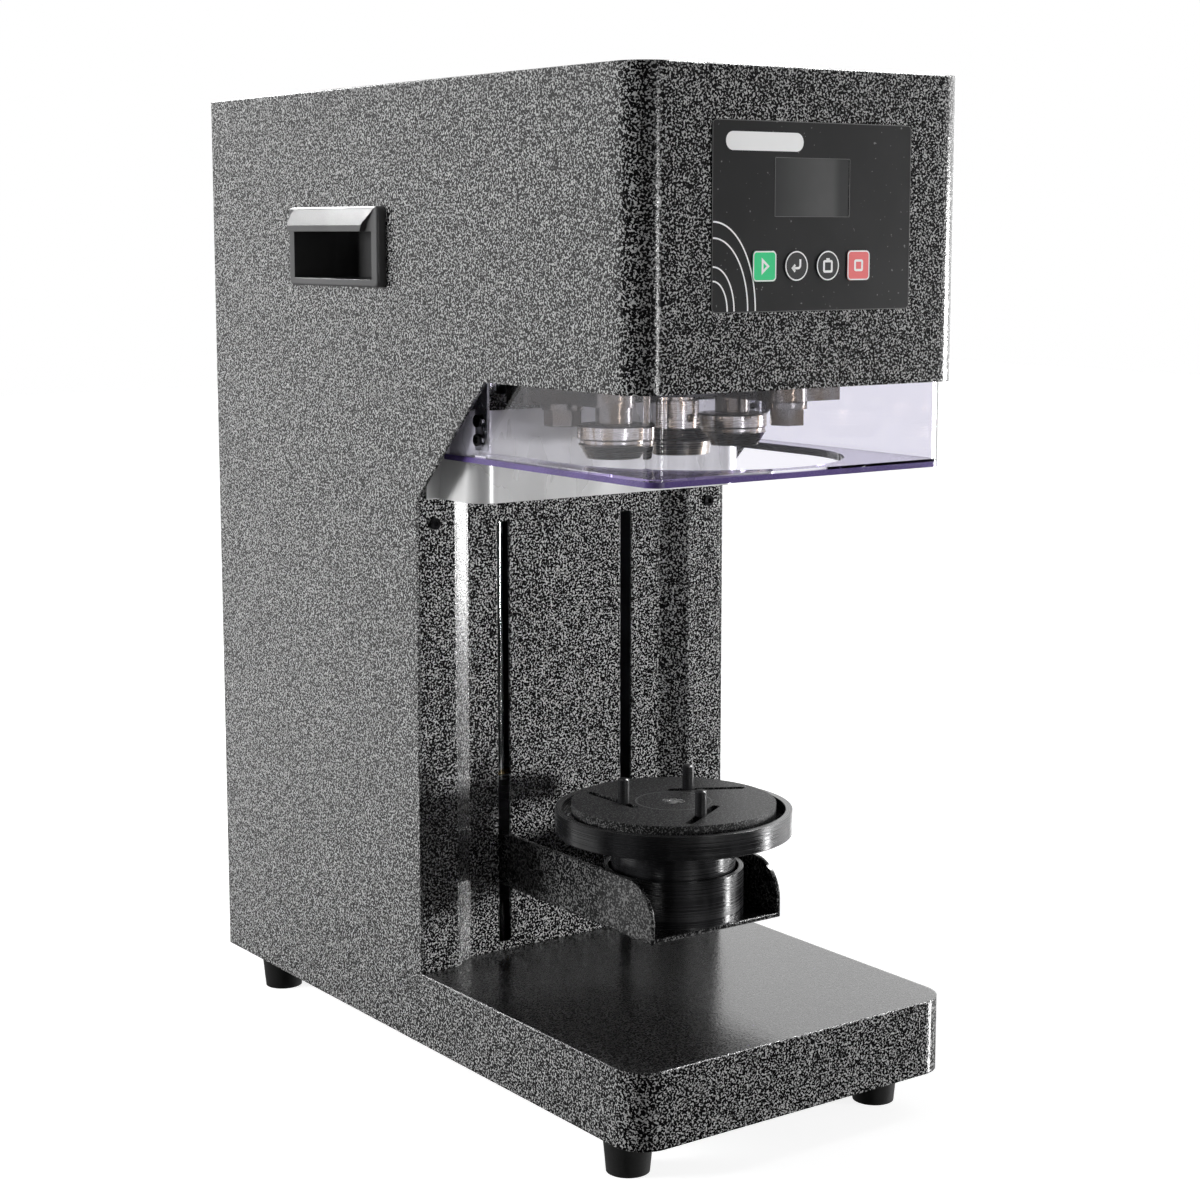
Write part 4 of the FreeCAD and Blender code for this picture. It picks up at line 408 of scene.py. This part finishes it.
def filmPlastic():
    # dark matt film with faint clouds and a few specks of dust
    material, tree, shader, place = newMaterial("panel film")
    marks = useGroup(tree, "grain", place, scale=film["grain"])
    base = mixColour(tree, spread(tree, marks["Clouds"], 0.35, 0.65), film["base"], film["clouds"])
    specks = spread(tree, noise(tree, place, film["dustScale"], 1.0), 0.74, 0.8)
    dusty = mixColour(tree, maths(tree, "MULTIPLY", specks, film["dustShare"]), base, film["dust"])
    plug(tree, dusty, shader.inputs["Base Color"])
    settle(shader, Roughness=film["roughness"], Specular_IOR_Level=film["specular"])
    emboss(tree, shader, marks["Height"], 0.00001, 0.0002)
    return material


def displayGlass():
    # painted light: a paler grey that rises from the left and falls off near the right end
    material, tree, shader, place = newMaterial("display glass")
    low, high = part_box("display_module")
    along = separate(tree, place)["X"]
    marks = useGroup(tree, "grain", place, scale=3000.0)
    rise = spread(tree, along, low.x + display["rise"][0], low.x + display["rise"][1], 0.2, 1.0)
    fall = spread(tree, along, low.x + display["fall"][0], low.x + display["fall"][1], 1.0, 0.35)
    clouds = spread(tree, marks["Clouds"], 0.2, 0.8, 0.7, 1.0)
    # painted light: glow sets where the glass is painted paler
    glow = maths(tree, "MULTIPLY", maths(tree, "MULTIPLY", rise, fall), clouds)
    plug(tree, mixColour(tree, glow, display["dim"], display["bright"]), shader.inputs["Base Color"])
    settle(shader, Roughness=display["roughness"], Coat_Weight=display["coat"], Coat_Roughness=0.05)
    return material


dress(filmPlastic(), "control_panel_film")
dress(displayGlass(), "display_module")


# flat shapes in the plane of the panel, each as its corners and a few arrays of faces

def ribbon(points, closed, width, front, thickness):
    # every (x, z) point of a line gives a left and a right corner, set off by half the width along the
    # mitre of its two segments, and a front and a back copy
    points = np.asarray(points, float)
    count = len(points)
    ahead = np.roll(points, -1, 0) - points
    behind = points - np.roll(points, 1, 0)
    if not closed:
        ahead[-1] = behind[-1]
        behind[0] = ahead[0]
    ahead /= np.linalg.norm(ahead, axis=1)[:, None]
    behind /= np.linalg.norm(behind, axis=1)[:, None]
    mitre = ahead + behind
    mitre /= np.linalg.norm(mitre, axis=1)[:, None]
    stretch = 1 / np.clip((mitre * ahead).sum(1), 0.35, 1.0)
    across = np.stack([-mitre[:, 1], mitre[:, 0]], 1) * (stretch * width / 2)[:, None]
    rim = np.stack([points + across, points - across], 1)
    layers = [np.insert(rim, 1, depth, 2).reshape(-1, 3) for depth in (front, front + thickness)]
    steps = np.arange(count if closed else count - 1)
    a, b = 2 * steps, 2 * ((steps + 1) % count)
    c, d = a + 2 * count, b + 2 * count
    faces = [np.stack(quad, 1) for quad in ((a, b, b + 1, a + 1), (c, c + 1, d + 1, d), (a, c, d, b),
                                            (a + 1, b + 1, d + 1, c + 1))]
    if not closed:
        end = 2 * (count - 1)
        faces.append(np.array([(0, 1, 1 + 2 * count, 2 * count),
                               (end, end + 2 * count, end + 1 + 2 * count, end + 1)]))
    return np.concatenate(layers), faces


def tablet(outline, front, thickness):
    # a closed outline filled in front and behind, with a rim of quads between the two
    count = len(outline)
    corners = np.concatenate([np.insert(outline, 1, depth, 1) for depth in (front, front + thickness)])
    steps = np.arange(count)
    ahead = (steps + 1) % count
    caps = np.stack([steps, 2 * count - 1 - steps])
    return corners, [caps, np.stack([steps, steps + count, ahead + count, ahead], 1)]


def roundedBox(centre, width, height, radius, steps=6):
    # the four corners in turn, each as a quarter circle
    signs = np.array([(1, 1), (-1, 1), (-1, -1), (1, -1)])
    middles = np.asarray(centre) + signs * (np.array([width, height]) / 2 - radius)
    lean = np.linspace(0, math.pi / 2, steps) + np.arange(4)[:, None] * math.pi / 2
    arcs = radius * np.stack([np.cos(lean), np.sin(lean)], 2)
    return (middles[:, None, :] + arcs).reshape(-1, 2)


def circle(centre, radius, first=0.0, last=2 * math.pi, steps=48):
    angles = np.linspace(first, last, steps, endpoint=abs(last - first) < 2 * math.pi - 0.001)
    return np.asarray(centre) + radius * np.stack([np.cos(angles), np.sin(angles)], 1)


def newPiece(name, parts, material, body):
    faces = []
    start = 0
    for corners, sets in parts:
        for rows in sets:
            faces += (rows + start).tolist()
        start += len(corners)
    mesh = bpy.data.meshes.new(name)
    mesh.from_pydata(np.concatenate([corners for corners, sets in parts]).tolist(), [], faces)
    mesh.materials.append(material)
    mesh.update()
    piece = bpy.data.objects.new(name, mesh)
    bpy.context.scene.collection.objects.link(piece)
    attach(piece, body)


print("guard rim")


def guardRim():
    # a thin band round the guard's lower edge: the plan of its two sides and front carried over a
    # low upright section, a hair proud of the clear wall
    low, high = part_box("clear_guard")
    proud, corner, tall = guard["rimProud"], guard["corner"], guard["rimHeight"]
    angles = np.linspace(0, math.pi / 2, 10)
    left = np.stack([low.x + corner - corner * np.cos(angles), low.y + corner - corner * np.sin(angles)], 1)
    right = np.stack([high.x - corner + corner * np.sin(angles), low.y + corner - corner * np.cos(angles)], 1)
    plan = np.concatenate([[(low.x, high.y)], left, right, [(high.x, high.y)]])
    ahead = np.gradient(plan, axis=0)
    outward = np.stack([ahead[:, 1], -ahead[:, 0]], 1) / np.linalg.norm(ahead, axis=1)[:, None]
    outward[0], outward[-1] = (-1, 0), (1, 0)
    section = np.array([(0.0, 0.0), (proud, 0.0), (proud, tall), (0.0, tall)])
    ring = plan[:, None, :] + outward[:, None, :] * section[None, :, :1]
    heights = low.z + np.broadcast_to(section[None, :, 1:], (len(plan), 4, 1))
    corners = np.concatenate([ring, heights], 2).reshape(-1, 3)
    along, across = np.meshgrid(4 * np.arange(len(plan) - 1), np.arange(4), indexing="ij")
    beside = (across + 1) % 4
    quads = np.stack([along + across, along + 4 + across, along + 4 + beside, along + beside], 2)
    last = 4 * (len(plan) - 1)
    ends = np.array([(0, 1, 2, 3), (last + 3, last + 2, last + 1, last)])
    violet = plastic("guard edge violet", guard["edge"], 0.25, 2500.0, 0.000004, 0.0, 0.3, 0.5)
    newPiece("guard_rim", [(corners, [quads.reshape(-1, 4), ends])], violet, "housing")


guardRim()

print("panel marks")
prints = {"thickness": 0.00006, "white": (0.93, 0.93, 0.93), "grey": (0.13, 0.13, 0.13),
          "pillCentre": (-0.0337, 0.570), "pillSize": (0.0535, 0.0099),
          "line": 0.00085, "reach": (0.0292, 0.047), "ripples": (0.34, 0.5, 0.82, 1.0), "inset": 0.0008,
          "hairline": 0.0003, "filmCorner": 0.0025, "screenCorner": 0.0004,
          "caseMargin": (0.006, 0.0, 0.004),  # the display's case is wider than its glass
          "keyLine": 0.0007, "keySide": 0.0154, "keyCorner": 0.0021, "keyRadius": 0.0076, "iconLine": 0.0013}
filmLow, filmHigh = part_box("control_panel_film")
filmFront = filmLow.y - prints["thickness"]


def ink(name, tint):
    return plastic(name, tint, 0.45, 2500.0, 0.000004, 0.0, 0.04)


def ribbons(lines, width, front):
    return [ribbon(points, closed, width, front, prints["thickness"]) for points, closed in lines]


def panelPrint(material):
    # a blank pill, and nested quarter ellipses in the lower left corner
    width, height = prints["pillSize"]
    pill = roundedBox(prints["pillCentre"], width, height, height / 2 - 0.0001, 10)[::-1]
    start = np.array([filmLow.x + prints["inset"], filmLow.z + prints["inset"]])
    quarter = circle((0.0, 0.0), 1.0, 0.0, math.pi / 2, 40) * prints["reach"]
    lines = [(start + quarter * share, False) for share in prints["ripples"]]
    parts = [tablet(pill, filmFront, prints["thickness"])] + ribbons(lines, prints["line"], filmFront)
    newPiece("panel_print", parts, material, "housing")


def hairlines():
    # grey outlines just inside the film's edge and just outside the glass of the display
    margin = Vector(prints["caseMargin"])
    screenLow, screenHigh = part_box("display_module")
    lines = []
    for low, high, inset, radius in (
            (filmLow, filmHigh, prints["hairline"], prints["filmCorner"]),
            (screenLow + margin, screenHigh - margin, -prints["hairline"], prints["screenCorner"])):
        centre = ((low.x + high.x) / 2, (low.z + high.z) / 2)
        width, height = high.x - low.x - 2 * inset, high.z - low.z - 2 * inset
        lines.append((roundedBox(centre, width, height, radius), True))
    newPiece("panel_hairlines", ribbons(lines, prints["hairline"], filmFront),
             ink("grey edge", prints["grey"]), "housing")


def keyMarks(material):
    # an outline round each key and a simple sign on it, drawn about the key's middle
    hook = np.concatenate([[(0.0026, 0.0036)], circle((0.0010, 0.0004), 0.0016, 0.0, -math.pi / 2, 6),
                           [(-0.0026, -0.0012)]])
    square = roundedBox((0.0, 0.0), prints["keySide"], prints["keySide"], prints["keyCorner"])
    ring = circle((0.0, 0.0), prints["keyRadius"], steps=64)
    signs = {
        "start_key": (square, [([(-0.0015, -0.0032), (0.0024, 0.0), (-0.0015, 0.0032)], True)]),
        "enter_key": (ring, [(hook, False),
                             ([(-0.0010, 0.0006), (-0.0028, -0.0012), (-0.0010, -0.0030)], False)]),
        "menu_key": (ring, [(roundedBox((0.0, -0.0004), 0.0056, 0.0056, 0.0006, 3), True),
                            ([(-0.0012, 0.0034), (0.0012, 0.0034)], False)]),
        "stop_key": (square, [(roundedBox((0.0, 0.0), 0.0052, 0.0052, 0.0006, 3), True)])}
    for name, (outline, sign) in signs.items():
        low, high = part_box(name)
        centre = ((low.x + high.x) / 2, (low.z + high.z) / 2)
        front = low.y - prints["thickness"]
        parts = ribbons([(outline + centre, True)], prints["keyLine"], front)
        parts += ribbons([(np.asarray(points) + centre, closed) for points, closed in sign],
                         prints["iconLine"], front)
        newPiece(name + "_marks", parts, material, name)


whiteInk = ink("white ink", prints["white"])
panelPrint(whiteInk)
hairlines()
keyMarks(whiteInk)

print("floor")
floorLook = {"reach": 6.0, "base": (0.5, 0.5, 0.5), "roughness": 0.9,
             "glow": 0.86, "glowFrom": 0.3, "glowTo": 0.8}  # dimmer near the object, white further out


def newFloor():
    # a plane that looks white from above and is clear from below
    reach = floorLook["reach"]
    mesh = bpy.data.meshes.new("floor")
    mesh.from_pydata([(-reach, -reach, 0), (reach, -reach, 0), (reach, reach, 0), (-reach, reach, 0)], [],
                     [(0, 1, 2, 3)])
    floor = bpy.data.objects.new("floor", mesh)
    bpy.context.scene.collection.objects.link(floor)
    material, tree, shader, place = newMaterial("pale floor")
    seen = tree.nodes.new("ShaderNodeLightPath").outputs
    shown = maths(tree, "MAXIMUM", seen["Is Camera Ray"], seen["Is Transmission Ray"])
    glow = spread(tree, size(tree, place), floorLook["glowFrom"], floorLook["glowTo"], floorLook["glow"], 1.0)
    under = tree.nodes.new("ShaderNodeNewGeometry").outputs["Backfacing"]
    plug(tree, maths(tree, "MULTIPLY", shown, glow), shader.inputs["Emission Strength"])
    plug(tree, maths(tree, "SUBTRACT", 1.0, under), shader.inputs["Alpha"])
    settle(shader, Base_Color=(*floorLook["base"], 1.0), Roughness=floorLook["roughness"],
           Emission_Color=(1.0, 1.0, 1.0, 1.0))
    mesh.materials.append(material)
    floor.visible_glossy = False  # mirrored rays see the studio round the table instead


newFloor()

print("studio")
studio = {"diffuse": 0.07, "front": 0.02, "back": 0.75, "above": 1.2, "below": 0.12, "right": 1.8,
          "corner": 1.7}


def newWorld():
    # white to the camera, even and low for the surfaces, and for mirrored rays bright behind, to the
    # right and above, and dark in front and below
    world = bpy.data.worlds.new("studio")
    bpy.context.scene.world = world
    world.use_nodes = True
    tree = world.node_tree
    seen = tree.nodes.new("ShaderNodeLightPath").outputs
    shown = maths(tree, "MAXIMUM", seen["Is Camera Ray"], seen["Is Transmission Ray"])
    way = separate(tree, tree.nodes.new("ShaderNodeTexCoord").outputs["Generated"])
    wall = spread(tree, way["Y"], 0.25, 0.6, studio["front"], studio["back"])
    wall = maths(tree, "MULTIPLY", wall, spread(tree, way["X"], -0.3, 0.5, 1.0, studio["right"]))
    wall = maths(tree, "MULTIPLY", wall, spread(tree, way["X"], 0.64, 0.78, 1.0, studio["corner"]))
    wall = maths(tree, "MAXIMUM", wall, spread(tree, way["X"], 0.85, 0.97, 0.0, studio["right"]))
    wall = maths(tree, "MAXIMUM", wall, spread(tree, way["Z"], 0.6, 0.75, 0.0, studio["above"]))
    wall = maths(tree, "MULTIPLY", wall, spread(tree, way["Z"], -0.36, -0.24, studio["below"], 1.0))
    plain = addNode(tree, "ShaderNodeMix", {0: seen["Is Glossy Ray"], 2: studio["diffuse"], 3: wall})
    level = addNode(tree, "ShaderNodeMix", {0: shown, 2: plain.outputs[0], 3: 1.0}).outputs[0]
    background = tree.nodes["Background"]
    background.inputs["Color"].default_value = (1.0, 1.0, 1.0, 1.0)
    plug(tree, level, background.inputs["Strength"])


newWorld()

print("lamps")
# softboxes only light the surfaces, strips are only seen in what is glossy or through what is clear
softboxes = {
    "right softbox": {"place": (1.46, -1.64, 0.2), "target": (0, 0, 0.3), "size": (0.17, 0.2), "watts": 35},
    "left softbox": {"place": (-1.9, 0.95, 0.6), "target": (0, 0, 0.3), "size": (0.7, 0.4), "watts": 46}}
strips = {
    "front strip": {"place": (-0.1, -2.0, 0.3), "target": (-0.1, -0.2, 0.3), "size": (0.12, 0.7), "watts": 6},
    "right strip": {"place": (1.9, -0.75, 0.25), "target": (0, -0.1, 0.3), "size": (0.4, 0.6), "watts": 36},
    "overhead strip": {"place": (1.1, -0.35, 1.6), "target": (0, -0.1, 0.1), "size": (0.3, 0.9), "watts": 60},
    "rear strip": {"place": (-0.35, 1.6, 1.25), "target": (-0.1, -0.1, 0.1), "size": (0.9, 0.3), "watts": 36},
    "low strip": {"place": (1.8, -1.05, -0.5), "target": (0, -0.1, 0.1), "size": (0.2, 0.5), "watts": 9}}


def newLamp(name, look, mirrored):
    data = bpy.data.lights.new(name, "AREA")
    data.shape = "RECTANGLE"
    data.size, data.size_y = look["size"]
    data.energy = look["watts"]
    lamp = bpy.data.objects.new(name, data)
    bpy.context.scene.collection.objects.link(lamp)
    lamp.location = look["place"]
    aim = Vector(look["target"]) - Vector(look["place"])
    lamp.rotation_euler = aim.to_track_quat("-Z", "Y").to_euler()
    lamp.visible_diffuse = not mirrored
    lamp.visible_glossy = mirrored
    lamp.visible_transmission = mirrored


for name, look in softboxes.items():
    newLamp(name, look, False)
for name, look in strips.items():
    newLamp(name, look, True)

print("camera")
camera = {"place": (-0.83571, -1.19873, 0.52157), "yaw": 0.6274, "pitch": 0.1399, "lens": 69.50,
          "shift": -0.03333}


def newCamera():
    data = bpy.data.cameras.new("camera")
    data.lens = camera["lens"]
    data.sensor_width = 36.0
    data.shift_y = camera["shift"]
    data.clip_start, data.clip_end = 0.05, 30.0
    view = bpy.data.objects.new("camera", data)
    bpy.context.scene.collection.objects.link(view)
    view.location = camera["place"]
    view.rotation_euler = (math.pi / 2 - camera["pitch"], 0.0, -camera["yaw"])
    bpy.context.scene.camera = view


newCamera()
bpy.context.scene.view_settings.view_transform = "Standard"

print("done")
